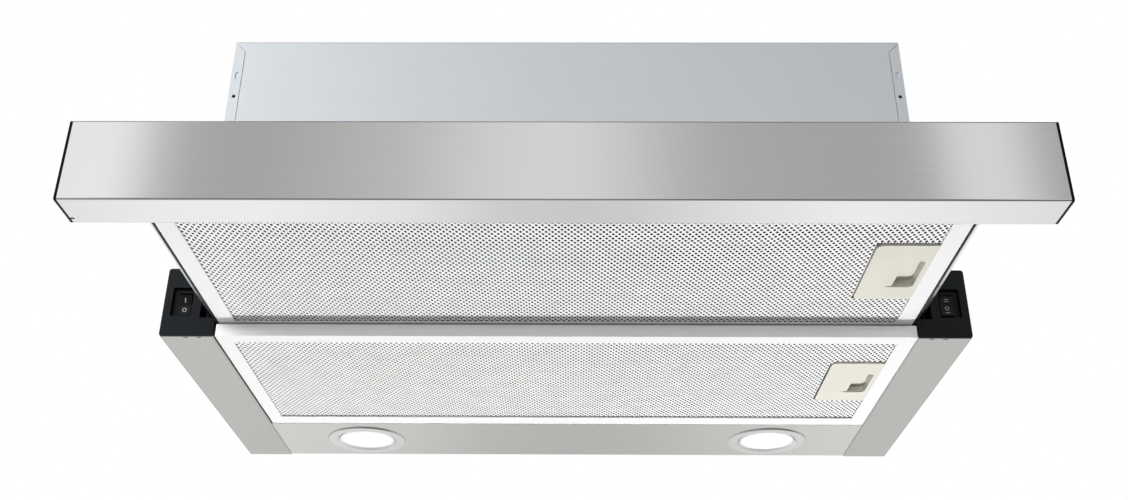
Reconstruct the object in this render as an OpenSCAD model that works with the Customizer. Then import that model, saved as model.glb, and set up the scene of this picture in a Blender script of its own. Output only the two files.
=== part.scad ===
// Pull out range hood for a wall cabinet, 60 cm class.
// The hood is shown with its front tray pulled out. Millimetres, +Z up, the user stands on the -Y side.
// Every sub-part is drawn with the underside of the hood at Z = 0 and the middle of the body's
// depth at Y = 0. placed() then moves it to the row frame, whose origin is the centre of the
// top plate's upper face: the middle of the four cabinet screws and the axis of the duct collar.

/* [Body] */
// Width over the fascia and the two side arms
hood_w = 598; // [596:1:600]
// Depth of the fixed body, front of the arms to the rear panel
body_d = 285; // [280:1:290]
// Height from the underside to the top plate
body_h = 266; // [262:1:272]
// Width of the upper housing that stands inside the wall cabinet
housing_w = 551; // [550:1:552]
// Width of each side arm
arm_w = 39.8; // [39.4:0.1:40.4]
// Height of the side arms, their caps and the fascia
arm_h = 55; // [54:1:57]
// Thickness of the sheet metal
sheet = 1; // [0.8:0.1:1]

/* [Tray] */
// How far the front tray is pulled out
tray_travel = 174; // [160:1:176]
// Depth of the fascia, front to back
fascia_d = 29.7; // [28:0.1:31]
// Thickness of the black end caps of the fascia
fascia_cap_t = 1.8; // [1.2:0.1:2]

/* [Filters] */
// Thickness of a filter cassette
filter_t = 9.3; // [9:0.1:9.4]
// Width of the bright border along the sides of the front filter
border_side = 12.5; // [12:0.1:13]
// Width of the bright border along the right side of the rear filter
border_side_rear = 12.4; // [12:0.1:13]
// Width of the bright border along the front of a filter
border_front = 12.6; // [11:0.1:14]
// Width of the bright border along the rear of a filter
border_rear = 16; // [14:0.5:17]
// Rows of openings that stand for the expanded metal, front to back
net_rows = 10; // [8:1:10]
// Openings in each row of the expanded metal
net_columns = 28; // [20:1:28]
// Width of the strands between the openings
net_strand = 2.2; // [1.6:0.1:3]

/* [Filter latches] */
// Width of a latch plate, left to right
latch_w = 40.2; // [39:0.1:41]
// Length of a latch plate, front to back
latch_l = 82; // [78:1:84]
// Curls of the latch spring
spring_curls = 6; // [5:1:6]

/* [Lamps] */
// Distance of each lamp from the centre line
lamp_x = 181.5; // [175:0.5:190]
// Radius of the outer edge of the lamp bezel
lamp_ring_r = 35; // [34:0.5:36]
// Radius of the glowing lens
lamp_lens_r = 24; // [22:0.5:25]

/* [Fan and duct] */
// Radius of the duct collar, outside
collar_r = 60; // [60:0.5:62]
// Height of the duct collar over the top plate
collar_h = 40; // [36:1:42]
// Radius of the impeller over its blades
impeller_r = 68; // [64:1:70]
// Blades on each side of the impeller's middle disc
blade_count = 30; // [24:2:36]

/* [Runners] */
// Balls in each ball track of a runner
balls_per_track = 4; // [3:1:5]
// Radius of the balls
ball_r = 2.4; // [2.3:0.05:2.4]

/* [Hidden] */
$fn = 48;
eps = 0.01;

// Body
half_w = hood_w / 2;
half_housing = housing_w / 2;
front_y = -body_d / 2;
rear_y = body_d / 2;
arm_in = half_w - arm_w;        // inner face of an arm
arm_lip_h = 14;                 // the arm's inner lip, below the notch of its cap
bend_r = 1.5;
fascia_bend_r = 1.2;
cap_face_t = 1.5;
cap_depth = 20;
cap_corner_r = 2.2;
notch_x = arm_in + 11.8;        // outer end of the cap's notch for the runner
notch_z = 14.8;
wrap_z = 55.5;                  // lower edge of the housing's front panel
flange_w = 13.5;                // front flange of a housing side, partly behind the front panel
flange_show = 9;                // the part of it that shows beside the front panel
seam = 0.6;                     // groove between that part and the front panel
flange_hole_x = half_housing - 4.5;
flange_hole_r = 1.6;
flange_hole_z = 211.7;
flange_slot_z = 231.9;
flange_slot_h = 7;
flange_slot_w = 3;
flange_slot_deep = 0.6;
side_foot_z = 2;                // lower edge of a housing side, inside the arm
top_screw_y = 90;               // screws through the top plate into the sides
top_screw_in = 7;
top_screw_hole_r = 2.1;
bead_x = 210;                   // stiffening frame of the rear panel
bead_z0 = 95;
bead_z1 = 235;
snap_half = 1.5;                // half the width of an arm cap's snap

// Cabinet screws and top plate
cabinet_x = 230;
cabinet_y = 100;
cabinet_hole_r = 2.75;
collar_hole_r = collar_r - 1.5;
collar_screw_x = collar_r + 5;
collar_screw_angles = [45 : 90 : 315];

// Tray, drawn pulled out
tray_gap = 0.7;                 // between the pushed in fascia and the arm caps
fascia_front = front_y - tray_travel - tray_gap - fascia_d;
fascia_rear = fascia_front + fascia_d;
tray_x = arm_in - 1.2;          // outer face of the tray's side plates
tray_sheet = 1.2;
tray_z0 = 11;
tray_z1 = 49.8;
tray_rear = fascia_rear + 190;

// Filters
front_filter_x = arm_in - 3.45;
rear_filter_x = arm_in - 0.3;
rear_filter_slack = 1.3;        // the rear filter's left edge stands this much further from its arm
front_filter_y = fascia_rear - 4.8;
front_filter_l = 194;
front_filter_z = 10.7;
rear_filter_y = front_y;
rear_filter_l = 195.3;
rear_filter_z = 0.2;
front_latch_x = front_filter_x - border_side - latch_w / 2 - 0.1;
rear_latch_x = rear_filter_x - border_side_rear - latch_w / 2 - 0.1;
front_latch_y = front_filter_y + 94.6;
rear_latch_y = rear_filter_y + 93;
filter_skin = 1;
filling_in = sheet + 0.3;       // the net and the layers stand in from the filter's edge
net_z = 1.05;                   // the expanded metal lies on the inside of the border
net_t = 0.8;
pack_z = 2;
pack_t = 6.2;
pack_layers = 5;
pack_layer_t = 0.3;

// Latch, in its own frame: X to the bolt, Z up from the visible face
latch_h = 8.2;
latch_skin = 1;
latch_wall = 1.5;
latch_corner = 5;
pocket_x0 = -2.9;               // opening in the visible face
pocket_x1 = 16.8;
pocket_y0 = -18.9;
pocket_y1 = 21.3;
pocket_r = 4;
pocket_wall = 1.2;
slope_x = 2.8;                  // end of the slope that leads the finger in
slope_z = 0.85;
grip_x0 = -12.4;
grip_z = latch_skin + 0.15;
grip_foot = 3.1;                // the steep face that the finger draws
grip_head = 5.9;
grip_top = 5.9;
grip_plate = 1.2;
bolt_w = 8;
bolt_z0 = grip_top;
bolt_z1 = 8;
ear_y = 28.2;
spring_r = 2.1;
spring_wire = 0.35;
spring_len = 19.2;
spring_x0 = -16.2;
ear_x = 4;                      // the slider's ear, which the spring pushes
spring_z = 4.9;
spring_ring = 6;
spring_steps = 8;
spring_pitch = spring_len / spring_curls;
spring_gap = min([
  for (k = [spring_steps / 2 : 2 * spring_steps])
    norm(spring_point(k / spring_steps, spring_r) - spring_point(0, spring_r))
]) - 2 * spring_wire;

// Lamps
lamp_y = 98.1;
lamp_panel_y = rear_filter_y + rear_filter_l + 0.7;
lamp_hole_r = 31;
lamp_proud = 1.2;
lamp_body_r = 27;

// Fan: the scroll lies in the YZ plane round an axis along X
fan_y = 22;
fan_z = 150;
fan_wall = 2;
fan_half = 65;
fan_top = body_h - sheet;
scroll_r0 = impeller_r + 7;     // at the tongue
scroll_grow = 25;               // growth of the scroll from tongue to outlet
tongue_angle = 60;
scroll_steps = 24;
scroll_sweep = 240;             // angle round which the scroll grows
neck_y0 = -66;
neck_y1 = 64;
inlet_r = 56;
outlet_r = collar_hole_r + 0.1;
shaft_r = 4;
motor_r = 40;
motor_x0 = 6;
motor_x1 = 58;

// Flaps of the duct collar
flap_z = body_h + 4;
flap_r = collar_r - 3.4;
flap_t = 1.2;
flap_knuckle_r = 3;
flap_pin_r = 1.5;
flap_running = 0.06;
flap_edge = flap_knuckle_r + 0.5;
flap_under = flap_z - 1.4;      // underside of a flap's plate
knuckles_front = [[-44, -28], [6, 22]];
knuckles_rear = [[-22, -6], [28, 44]];

// Terminal box and cable gland
gland_x = 190;
gland_y = 85;
gland_hole_r = 8.1;
gland_bore_r = 4;

// Runners: the ball tracks run above and below the inner channel
runner_z0 = 18;
runner_z1 = 50;
tray_screw_z = (runner_z0 + runner_z1) / 2;
runner_t = 1.2;
runner_hole_r = 2.1;
ball_x = arm_in + 6.8;
ball_gap = 0.05;
inner_z0 = runner_z0 + runner_t + 2 * (ball_r + ball_gap);
inner_z1 = runner_z1 - runner_t - 2 * (ball_r + ball_gap);
inner_x = tray_x;
inner_len = 270;
inner_y = fascia_rear + 1.2;
inner_flange_x = ball_x + 2.8;
outer_y = front_y + cap_depth + 2.5;
outer_len = 260;
outer_x = half_housing - sheet;
cage_len = 62;
cage_y = outer_y + 6;
cage_t = 0.9;
track_z = [runner_z0 + runner_t + ball_r + ball_gap, runner_z1 - runner_t - ball_r - ball_gap];

// Switches and rockers
switch_x0 = 277.6;
switch_x1 = 293.4;
switch_z0 = 16.2;
switch_z1 = 39.2;
rocker_half_x = 4.8;
rocker_x = 284;
rocker_z = 26.5;
rocker_half_z = 8.4;
rocker_y = front_y + 8.5;
rocker_pin_r = 1.5;
rocker_face = 5.6;              // from the pin to the valley between the rocker's two faces
rocker_rise = 1.1;              // rise of the faces towards their ends
light_tilt = 7;                 // the light rocker rests pressed at its lower end
leaf_y = 52.5;                  // the microswitch, just behind the pushed in tray

// ---------------------------------------------------------------------------
// Helpers

// Moves a sub-part from the drawing frame to the row frame
module placed() {
  translate([0, 0, -body_h]) children();
}

// Box from corner to corner
module span(a, b) {
  translate(a) cube(b - a);
}

// Rectangle from corner to corner with true round corners
module round_rect(a, b, r) {
  w = b[0] - a[0];
  h = b[1] - a[1];
  translate([a[0] + r, a[1]]) square([w - 2 * r, h]);
  translate([a[0], a[1] + r]) square([w, h - 2 * r]);
  for (x = [a[0] + r, b[0] - r], y = [a[1] + r, b[1] - r])
    translate([x, y]) circle(r = r);
}

// Extrudes a profile drawn in X and Z along Y
module along_y(y0, y1) {
  translate([0, y1, 0]) rotate([90, 0, 0]) linear_extrude(y1 - y0) children();
}

// Extrudes a profile drawn in Y and Z along X
module along_x(x0, x1) {
  translate([x0, 0, 0]) rotate([90, 0, 90]) linear_extrude(x1 - x0) children();
}

// The right side as drawn, or mirrored for the left side
module on_side(side) {
  if (side > 0) children();
  else mirror([1, 0, 0]) children();
}

// Cylinder along Y, X or Z between two stations
module rod_y(x, z, r, y0, y1) {
  translate([x, y1, z]) rotate([90, 0, 0]) cylinder(r = r, h = y1 - y0);
}
module rod_x(y, z, r, x0, x1) {
  translate([x0, y, z]) rotate([0, 90, 0]) cylinder(r = r, h = x1 - x0);
}
module rod_z(x, y, r, z0, z1) {
  translate([x, y, z0]) cylinder(r = r, h = z1 - z0);
}

// ---------------------------------------------------------------------------
// Housing

// Front panel and top plate in one sheet; its front corners are cut at 45 degrees
module housing_wrap() {
  show_x = half_housing - flange_show;
  lip_d = 11;
  rear_lip_h = 13;
  color("lightsteelblue") placed() difference() {
    union() {
      along_y(front_y, front_y + sheet) polygon([
        [-half_housing, body_h], [-half_housing, body_h - sheet],
        [-show_x, body_h - sheet - flange_show], [-show_x, wrap_z], [show_x, wrap_z],
        [show_x, body_h - sheet - flange_show], [half_housing, body_h - sheet], [half_housing, body_h]
      ]);
      span([-half_housing, front_y, body_h - sheet], [half_housing, rear_y, body_h]);
      span([-show_x, front_y, wrap_z], [show_x, front_y + lip_d, wrap_z + sheet]);
      span([-half_housing, rear_y - sheet, body_h - rear_lip_h], [half_housing, rear_y, body_h]);
    }
    // outside of the bend between the front panel and the top plate
    along_x(-half_housing - 1, half_housing + 1) difference() {
      translate([front_y - 1, body_h - sheet]) square([sheet + 1, sheet + 1]);
      translate([front_y + sheet, body_h - sheet]) circle(r = sheet);
    }
    rod_z(0, 0, collar_hole_r, body_h - 5, body_h + 5);
    for (x = [-cabinet_x, cabinet_x], y = [-cabinet_y, cabinet_y])
      rod_z(x, y, cabinet_hole_r, body_h - 5, body_h + 5);
    for (s = [-1, 1], y = [-top_screw_y, top_screw_y])
      rod_z(s * (half_housing - top_screw_in), y, top_screw_hole_r, body_h - 5, body_h + 5);
    rod_z(gland_x, gland_y, gland_hole_r, body_h - 5, body_h + 5);
  }
}

// Side panel with a front flange that shows beside the front panel
module housing_side(side) {
  y0 = front_y + sheet;
  y1 = rear_y - 2 * sheet;
  flange_z0 = wrap_z + sheet + 0.5;
  top_flange_w = 14;
  color("lightsteelblue") placed() on_side(side) difference() {
    union() {
      span([half_housing - sheet, y0, arm_h], [half_housing, y1, body_h - 2 * sheet]);
      span([half_housing - sheet, front_y + cap_depth + 1, side_foot_z], [half_housing, y1, arm_h + eps]);
      difference() {
        union() {
          span([half_housing - flange_w, y0, flange_z0], [half_housing, y0 + sheet, body_h - sheet]);
          along_y(front_y, y0 + eps) flange_face();
        }
        rod_y(flange_hole_x, flange_hole_z, flange_hole_r, front_y - 1, y0 + 2);
        along_y(front_y - 1, front_y + flange_slot_deep) flange_slot();
      }
      span([half_housing - flange_w, y1 - sheet, flange_z0], [half_housing, y1, body_h - 2 * sheet]);
      span([half_housing - top_flange_w, y0, body_h - 2 * sheet], [half_housing, y1, body_h - sheet]);
    }
    for (y = [-top_screw_y, top_screw_y])
      rod_z(half_housing - top_screw_in, y, top_screw_hole_r, body_h - 6, body_h + 5);
  }
}

// The part of the flange that stands level with the front panel, a groove away from it
module flange_face() {
  x0 = half_housing - flange_show + seam;
  top = body_h - sheet - seam * sqrt(2);
  polygon([[x0, wrap_z], [half_housing, wrap_z], [half_housing, top], [x0, top - flange_show + seam]]);
}

// Blind slot pressed into the flange
module flange_slot() {
  r = flange_slot_w / 2;
  straight = flange_slot_h / 2 - r;
  translate([flange_hole_x - r, flange_slot_z - straight]) square([flange_slot_w, 2 * straight]);
  for (s = [-1, 1]) translate([flange_hole_x, flange_slot_z + s * straight]) circle(r = r);
}

// Flat rear panel with a shallow stiffening frame pressed into it
module rear_panel() {
  y1 = rear_y - sheet;
  deep = 3;
  color("lightsteelblue") placed() difference() {
    union() {
      span([-half_housing, y1 - sheet, arm_h + 1], [half_housing, y1, body_h - sheet - 0.5]);
      span([-(arm_in - 0.4), y1 - sheet, 1.3], [arm_in - 0.4, y1, arm_h + 1 + eps]);
      along_y(y1 - sheet - deep, y1 - sheet + eps) rear_bead(0);
    }
    along_y(y1 - deep, y1 + 1) rear_bead(deep);
  }
}

module rear_bead(inset) {
  round_rect([inset - bead_x, bead_z0 + inset], [bead_x - inset, bead_z1 - inset], 12);
}

// ---------------------------------------------------------------------------
// Side arms and their caps

// Stainless channel: bottom, outer wall, top flange and a short inner lip
module side_arm(side) {
  y0 = front_y + cap_face_t;
  color("silver") placed() on_side(side) difference() {
    union() {
      along_y(y0, rear_y) difference() {
        round_rect([arm_in, 0], [half_w, arm_h], bend_r);
        round_rect([arm_in + sheet, sheet], [half_w - sheet, arm_h - sheet], bend_r - 1);
        translate([arm_in - 1, arm_lip_h]) square([half_housing + 1.3 - arm_in, arm_h]);
      }
      span([arm_in + 0.3, rear_y - sheet, 2], [half_w - sheet, rear_y, arm_h - sheet + eps]);
    }
    // slots that a filter's lugs and bolt enter, and two windows for the cap's snaps
    bolt_slot = bolt_w + 1;
    if (side > 0)
      span([arm_in - 1, rear_latch_y - bolt_slot / 2, rear_filter_z + bolt_z0 - 0.5],
           [arm_in + 3, rear_latch_y + bolt_slot / 2, rear_filter_z + bolt_z1 + 0.5]);
    else
      for (y = lug_stations(rear_filter_y, rear_filter_l))
        span([arm_in - 1, y - 5, rear_filter_z + 3], [arm_in + 3, y + 5, rear_filter_z + 6]);
    for (x = snap_stations()) span([x - snap_half - 0.3, y0 + 0.6, -1], [x + snap_half + 0.3, y0 + 1.8, 2]);
  }
}

// Where the lugs on the left side of a filter stand
function lug_stations(y, l) = [y + 0.25 * l, y + 0.75 * l];

// Where the two snaps of an arm cap stand
function snap_stations() = [arm_in + 10.5, arm_in + 20.5];

// Black cap that plugs the front of an arm: a notch for the runner and a window for the switch
module arm_cap(side) {
  plug = sheet + 0.2;
  wall = 1.4;
  color([0.13, 0.135, 0.145]) placed() on_side(side) difference() {
    union() {
      along_y(front_y, front_y + cap_face_t) cap_outline(0);
      along_y(front_y + cap_face_t, front_y + cap_depth) difference() {
        cap_outline(plug);
        cap_outline(plug + wall);
      }
      along_y(front_y + cap_face_t - eps, front_y + 3)
        round_rect([switch_x0 - 1.2, switch_z0 - 1.2], [switch_x1 + 1.2, switch_z1 + 1.2], 1);
      for (x = snap_stations())
        span([x - snap_half, front_y + cap_face_t + 0.75, 0.1], [x + snap_half, front_y + 3, 2]);
    }
    along_y(front_y - 1, front_y + 4) round_rect([switch_x0, switch_z0], [switch_x1, switch_z1], 0.6);
  }
}

// Outline of an arm cap, drawn smaller by inset all round
module cap_outline(inset) {
  difference() {
    round_rect([arm_in + inset, inset], [half_w - inset, arm_h - inset], cap_corner_r - min(inset, 1.2));
    translate([arm_in - 1, notch_z - inset]) square([notch_x + inset - arm_in + 1, arm_h]);
  }
}

// ---------------------------------------------------------------------------
// Lamp strip and lamps

module lamp_panel() {
  x = arm_in - 0.4;
  y1 = rear_y - 2 * sheet - 0.3;
  fold_h = 12;
  end_h = 9;
  color("silver") placed() difference() {
    union() {
      span([-x, lamp_panel_y, 0], [x, y1, sheet]);
      span([-x, lamp_panel_y, 0], [x, lamp_panel_y + sheet, fold_h]);
      span([-x, y1 - sheet, 0], [x, y1, fold_h]);
      for (s = [-1, 1]) span([s > 0 ? x - sheet : -x, lamp_panel_y, 0], [s > 0 ? x : sheet - x, y1, end_h]);
    }
    for (s = [-1, 1]) rod_z(s * lamp_x, lamp_y, lamp_hole_r, -1, 3);
  }
}

// Bezel with a rounded outer edge and a conical inner face
module lamp_ring(side) {
  gap = 0.3;
  in = lamp_lens_r + gap;
  cone = lamp_lens_r + 3.2;
  round_x = lamp_ring_r - lamp_proud;
  color("gainsboro") placed() translate([side * lamp_x, lamp_y, 0]) rotate_extrude() difference() {
    union() {
      translate([in, -lamp_proud]) square([round_x - in, lamp_proud]);
      intersection() {
        translate([round_x, 0]) circle(r = lamp_proud);
        translate([round_x - eps, -lamp_proud]) square(lamp_proud + eps);
      }
      translate([in, -eps]) square([lamp_hole_r - gap - in, 5]);
    }
    polygon([
      [lamp_lens_r - 1, -lamp_proud - 1], [cone, -lamp_proud - 1], [cone, -lamp_proud], [in, 0.6],
      [lamp_lens_r - 1, 0.6]
    ]);
  }
}

// Lens with a domed face
module lamp_lens(side) {
  dome = 1.2;
  steps = 6;
  color("white") placed() translate([side * lamp_x, lamp_y, 0]) rotate_extrude() polygon(concat(
    [for (i = [0 : steps]) [lamp_lens_r * i / steps, -lamp_proud + 0.2 + dome * pow(i / steps, 2)]],
    [[lamp_lens_r, 1.2], [lamp_lens_r - 3, 1.9], [0, 1.9]]
  ));
}

// Lamp housing with cooling ribs and two spring clips
module lamp_body(side) {
  z0 = 2;
  z1 = 24;
  rim_z = 5.2;                  // lower edge of the rim that stands on the bezel's tube
  clip_z = 7.2;                 // groove of the spring clips
  slot_w = 2.4;
  color("white") placed() translate([side * lamp_x, lamp_y, 0]) {
    difference() {
      translate([0, 0, z0]) cylinder(r = lamp_body_r + 3.2, h = z1 - z0);
      translate([0, 0, z0 - 1]) cylinder(r = lamp_lens_r - 2, h = 9);
      lamp_groove(z0 - 0.1, rim_z, lamp_lens_r + 0.1);
      for (a = [0 : 30 : 150]) rotate(a) translate([-40, -slot_w / 2, 14]) cube([80, slot_w, z1]);
      lamp_groove(clip_z, clip_z + 3, lamp_body_r);
    }
    translate([0, 0, z1 - eps]) cylinder(r = 9, h = 6);
  }
}

// Ring round the lamp body, from the radius r outwards
module lamp_groove(z0, z1, r) {
  translate([0, 0, z0]) difference() {
    cylinder(r = lamp_body_r + 5, h = z1 - z0);
    cylinder(r = r, h = z1 - z0);
  }
}

// ---------------------------------------------------------------------------
// Fan

// Radius of the scroll at an angle measured from the tongue round to the outlet
function scroll_r(a) = scroll_r0 + scroll_grow * a / scroll_sweep;

// Points of the scroll, from the tongue over the rear and the bottom to the front
function scroll_points(inset) = [
  for (i = [0 : scroll_steps])
    let (a = i * scroll_sweep / scroll_steps, t = tongue_angle - a)
      [fan_y + (scroll_r(a) - inset) * cos(t), fan_z + (scroll_r(a) - inset) * sin(t)]
];

// Outline of the scroll with its neck up to the outlet
module scroll_outline(inset) {
  polygon(concat(scroll_points(inset), [
    [neck_y0 - 12 + inset, fan_z + 10], [neck_y0 - 4 + inset, fan_z + 62], [neck_y0 + inset, fan_top - inset],
    [neck_y1 - inset, fan_top - inset], [neck_y1 - inset, fan_z + 84]
  ]));
}

// Blower housing: a scroll with an inlet on each side and a round outlet in its roof
module fan_housing() {
  color("dimgray") placed() difference() {
    union() {
      along_x(-fan_half, fan_half) scroll_outline(0);
      for (s = [-1, 1]) translate([s * fan_half, fan_y, fan_z]) rotate([0, s * 90, 0]) inlet_lip();
    }
    along_x(fan_wall - fan_half, fan_half - fan_wall) scroll_outline(fan_wall);
    rod_x(fan_y, fan_z, inlet_r, -fan_half - 9, fan_half + 9);
    rod_z(0, 0, outlet_r, fan_top - 6, fan_top + 5);
  }
}

// Bell mouth round an inlet, drawn round Z and standing on Z = 0
module inlet_lip() {
  translate([0, 0, -eps]) rotate_extrude() {
    translate([inlet_r, 0]) square([3, 3]);
    translate([inlet_r + 3, 3]) circle(r = 3);
  }
}

// Motor inside the right half of the impeller; its end shields are ribbed
module motor() {
  color("slategray") placed() difference() {
    union() {
      rod_x(fan_y, fan_z, motor_r - 3, motor_x0, motor_x1);
      rod_x(fan_y, fan_z, motor_r, motor_x0 + 12, motor_x1 - 12);
      for (i = [0 : 2]) rod_x(fan_y, fan_z, motor_r + 1, motor_x0 + 14 + i * 8, motor_x0 + 17 + i * 8);
    }
    rod_x(fan_y, fan_z, shaft_r + 0.05, motor_x0 - 1, motor_x1 - 8);
    for (a = [0 : 45 : 315]) translate([0, fan_y, fan_z]) rotate([a, 0, 0])
      rod_x(0, 24, 4, motor_x0 - 1, motor_x0 + 5);
  }
}

// Three-armed spider that holds the motor in the right inlet
module motor_bracket() {
  x0 = motor_x1;
  color("silver") placed() difference() {
    union() {
      rod_x(fan_y, fan_z, 30, x0, x0 + 2);
      for (a = [90, 210, 330]) translate([0, fan_y, fan_z]) rotate([a, 0, 0]) {
        span([x0, -6, 20], [x0 + 2, 6, inlet_r - 0.6]);
        span([x0, -6, inlet_r - 2.6], [fan_half + 6, 6, inlet_r - 0.6]);
        span([fan_half + 6, -6, inlet_r - 2.6], [fan_half + 8, 6, inlet_r + 8]);
      }
    }
    for (a = [30, 150, 270]) translate([0, fan_y, fan_z]) rotate([a, 0, 0])
      rod_x(0, 18, 5, x0 - 1, x0 + 3);
  }
}

// Double inlet squirrel cage: a middle disc, two rings of bent blades and two end rings
module impeller() {
  half = 52;
  disc_t = 2;
  ring = 9;
  ring_t = 2;
  hub_r = 10;
  hub_z = -16;
  color("gray") placed() translate([0, fan_y, fan_z]) rotate([0, 90, 0]) {
    difference() {
      union() {
        translate([0, 0, -disc_t - 1]) cylinder(r = impeller_r, h = disc_t);
        translate([0, 0, hub_z]) cylinder(r = hub_r, h = -disc_t - hub_z);
        for (z = [-half, half - ring_t]) translate([0, 0, z]) difference() {
          cylinder(r = impeller_r + 0.6, h = ring_t);
          translate([0, 0, -1]) cylinder(r = impeller_r - ring, h = 4);
        }
      }
      translate([0, 0, -20]) cylinder(r = shaft_r, h = 40);
      for (a = [0 : 60 : 300]) rotate(a) translate([34, 0, -10]) cylinder(r = 8, h = 12);
    }
    for (i = [0 : blade_count - 1]) rotate(i * 360 / blade_count) blade(half);
  }
}

// One forward curved blade, through both halves of the impeller
module blade(half) {
  t = 0.9;
  in = impeller_r - 8.6;
  out = impeller_r - 0.2;
  mid = (in + out) / 2;
  translate([0, 0, -half + 1]) linear_extrude(2 * half - 2) polygon([
    [in, 0], [mid, -0.6], [out, 1.6], [out - 0.2, 1.6 + t], [mid, t - 0.6], [in, t]
  ]);
}

// Motor shaft, a snug fit in the impeller's hub and a running fit in the motor
module fan_shaft() {
  color("silver") placed() rod_x(fan_y, fan_z, shaft_r, -18, motor_x1 - 10);
}

// Run capacitor in a cup on the left of the blower
module capacitor() {
  stud_l = 8;
  can_l = 50;
  tab_t = 0.8;
  color("white") placed() translate([-150, 30, body_h - sheet]) {
    translate([0, 0, -stud_l - can_l]) cylinder(r = 15, h = can_l);
    translate([0, 0, -stud_l - can_l - 4]) cylinder(r = 10, h = 5);
    translate([0, 0, -stud_l]) cylinder(r = 4, h = stud_l);
    for (s = [-1, 1]) translate([s * 5 - tab_t / 2, -3, -stud_l - can_l - 10]) cube([tab_t, 6, 7]);
  }
}

// Terminal box under the top plate, open to the cable gland above it
module terminal_box() {
  z1 = body_h - sheet;
  half = [38, 26];
  deep = 40;
  wall = 2;
  color("whitesmoke") placed() translate([gland_x, gland_y, 0]) difference() {
    span([-half[0], -half[1], z1 - deep], [half[0], half[1], z1]);
    span([wall - half[0], wall - half[1], z1 - deep + wall], [half[0] - wall, half[1] - wall, z1 + 1]);
    rod_x(0, z1 - deep / 2, 5, -half[0] - 2, -half[0] + 8);
  }
}

// Cable gland through the top plate: collar, hexagon and a bore for a mains lead
module cable_gland() {
  thread_r = gland_hole_r - 0.1;
  flange_t = 2;
  nut_t = 5;
  hex_h = 7;
  color("black") placed() translate([gland_x, gland_y, body_h]) difference() {
    union() {
      translate([0, 0, -8]) cylinder(r = thread_r, h = 10);
      cylinder(r = 12, h = flange_t);
      translate([0, 0, flange_t - eps]) cylinder(r = 11, h = hex_h, $fn = 6);
      translate([0, 0, flange_t + hex_h - 2 * eps]) cylinder(r = thread_r, h = 4);
      translate([0, 0, -sheet - nut_t]) cylinder(r = 12, h = nut_t, $fn = 6);
    }
    translate([0, 0, -9]) cylinder(r = gland_bore_r, h = 30);
  }
}

// ---------------------------------------------------------------------------
// Duct collar and its two non-return flaps

// Spigot with a flange on the top plate, a bead, a ledge under the flaps and two ears for their pin
module duct_collar() {
  wall = 2;
  low = body_h - 2.6;
  ledge_x1 = collar_r - 1.8;
  color([0.16, 0.16, 0.17]) placed() difference() {
    union() {
      rotate_extrude(convexity = 6) {
        translate([collar_r - wall, body_h + 0.01]) square([wall, collar_h]);
        translate([collar_r - wall, body_h + 0.01]) square([10, 2]);
        translate([ledge_x1 - 2.7, low]) square([2.7, 4.6]);
      }
      for (s = [-1, 1]) on_side(s) span([flap_r - 5.4, -4, low], [ledge_x1, 4, flap_z + 4.4]);
    }
    rod_x(0, flap_z, flap_pin_r + flap_running, -collar_r + 0.8, collar_r - 0.8);
    for (a = collar_screw_angles) rotate(a) rod_z(collar_screw_x, 0, 1.8, body_h - 3, body_h + 5);
  }
}

module flap_pin() {
  color("silver") placed() rod_x(0, flap_z, flap_pin_r, -collar_r + 1.2, collar_r - 1.2);
}

// Half disc with two knuckles on the pin; dir is -1 for the front flap and 1 for the rear one
module flap(dir) {
  own = dir < 0 ? knuckles_front : knuckles_rear;
  other = dir < 0 ? knuckles_rear : knuckles_front;
  clear = 0.4;
  half_l = 49.5;
  rib = 0.7;
  color("dimgray") placed() difference() {
    union() {
      intersection() {
        rod_z(0, 0, flap_r - 1.2, flap_under, flap_under + flap_t);
        span([-100, dir < 0 ? -100 : flap_edge, flap_z - 5], [100, dir < 0 ? -flap_edge : 100, flap_z + 5]);
        span([-half_l, -100, flap_z - 5], [half_l, 100, flap_z + 5]);
      }
      for (k = own) {
        rod_x(0, flap_z, flap_knuckle_r, k[0], k[1]);
        span([k[0], dir < 0 ? -flap_edge - 2 : 0, flap_under],
             [k[1], dir < 0 ? 0 : flap_edge + 2, flap_under + flap_t]);
      }
      for (x = [-38, -13, 13, 38])
        span([x - rib, dir < 0 ? -32 : 8, flap_under + flap_t - eps],
             [x + rib, dir < 0 ? -8 : 32, flap_z + 1.4]);
    }
    rod_x(0, flap_z, flap_pin_r + flap_running, -60, 60);
    for (k = other)
      rod_x(0, flap_z, flap_knuckle_r + clear, k[0] - clear, k[1] + clear);
  }
}

// ---------------------------------------------------------------------------
// Ball bearing runners

// Outer channel on the housing side; its lips hold the balls
module runner_outer(side) {
  lip = 1.6;
  lip_t = 1;
  x0 = ball_x - 3.4;
  color("gainsboro") placed() on_side(side) difference() {
    along_y(outer_y, outer_y + outer_len) {
      translate([outer_x - runner_t, runner_z0]) square([runner_t, runner_z1 - runner_z0]);
      for (z = [runner_z0, runner_z1 - runner_t]) translate([x0, z]) square([outer_x - x0, runner_t]);
      translate([x0, runner_z0]) square([lip_t, runner_t + lip]);
      translate([x0, runner_z1 - runner_t - lip]) square([lip_t, runner_t + lip]);
    }
    for (y = [outer_y + 20, outer_y + outer_len - 20])
      rod_x(y, tray_screw_z, runner_hole_r + 0.1, outer_x - 3, outer_x + 1);
  }
}

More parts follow.
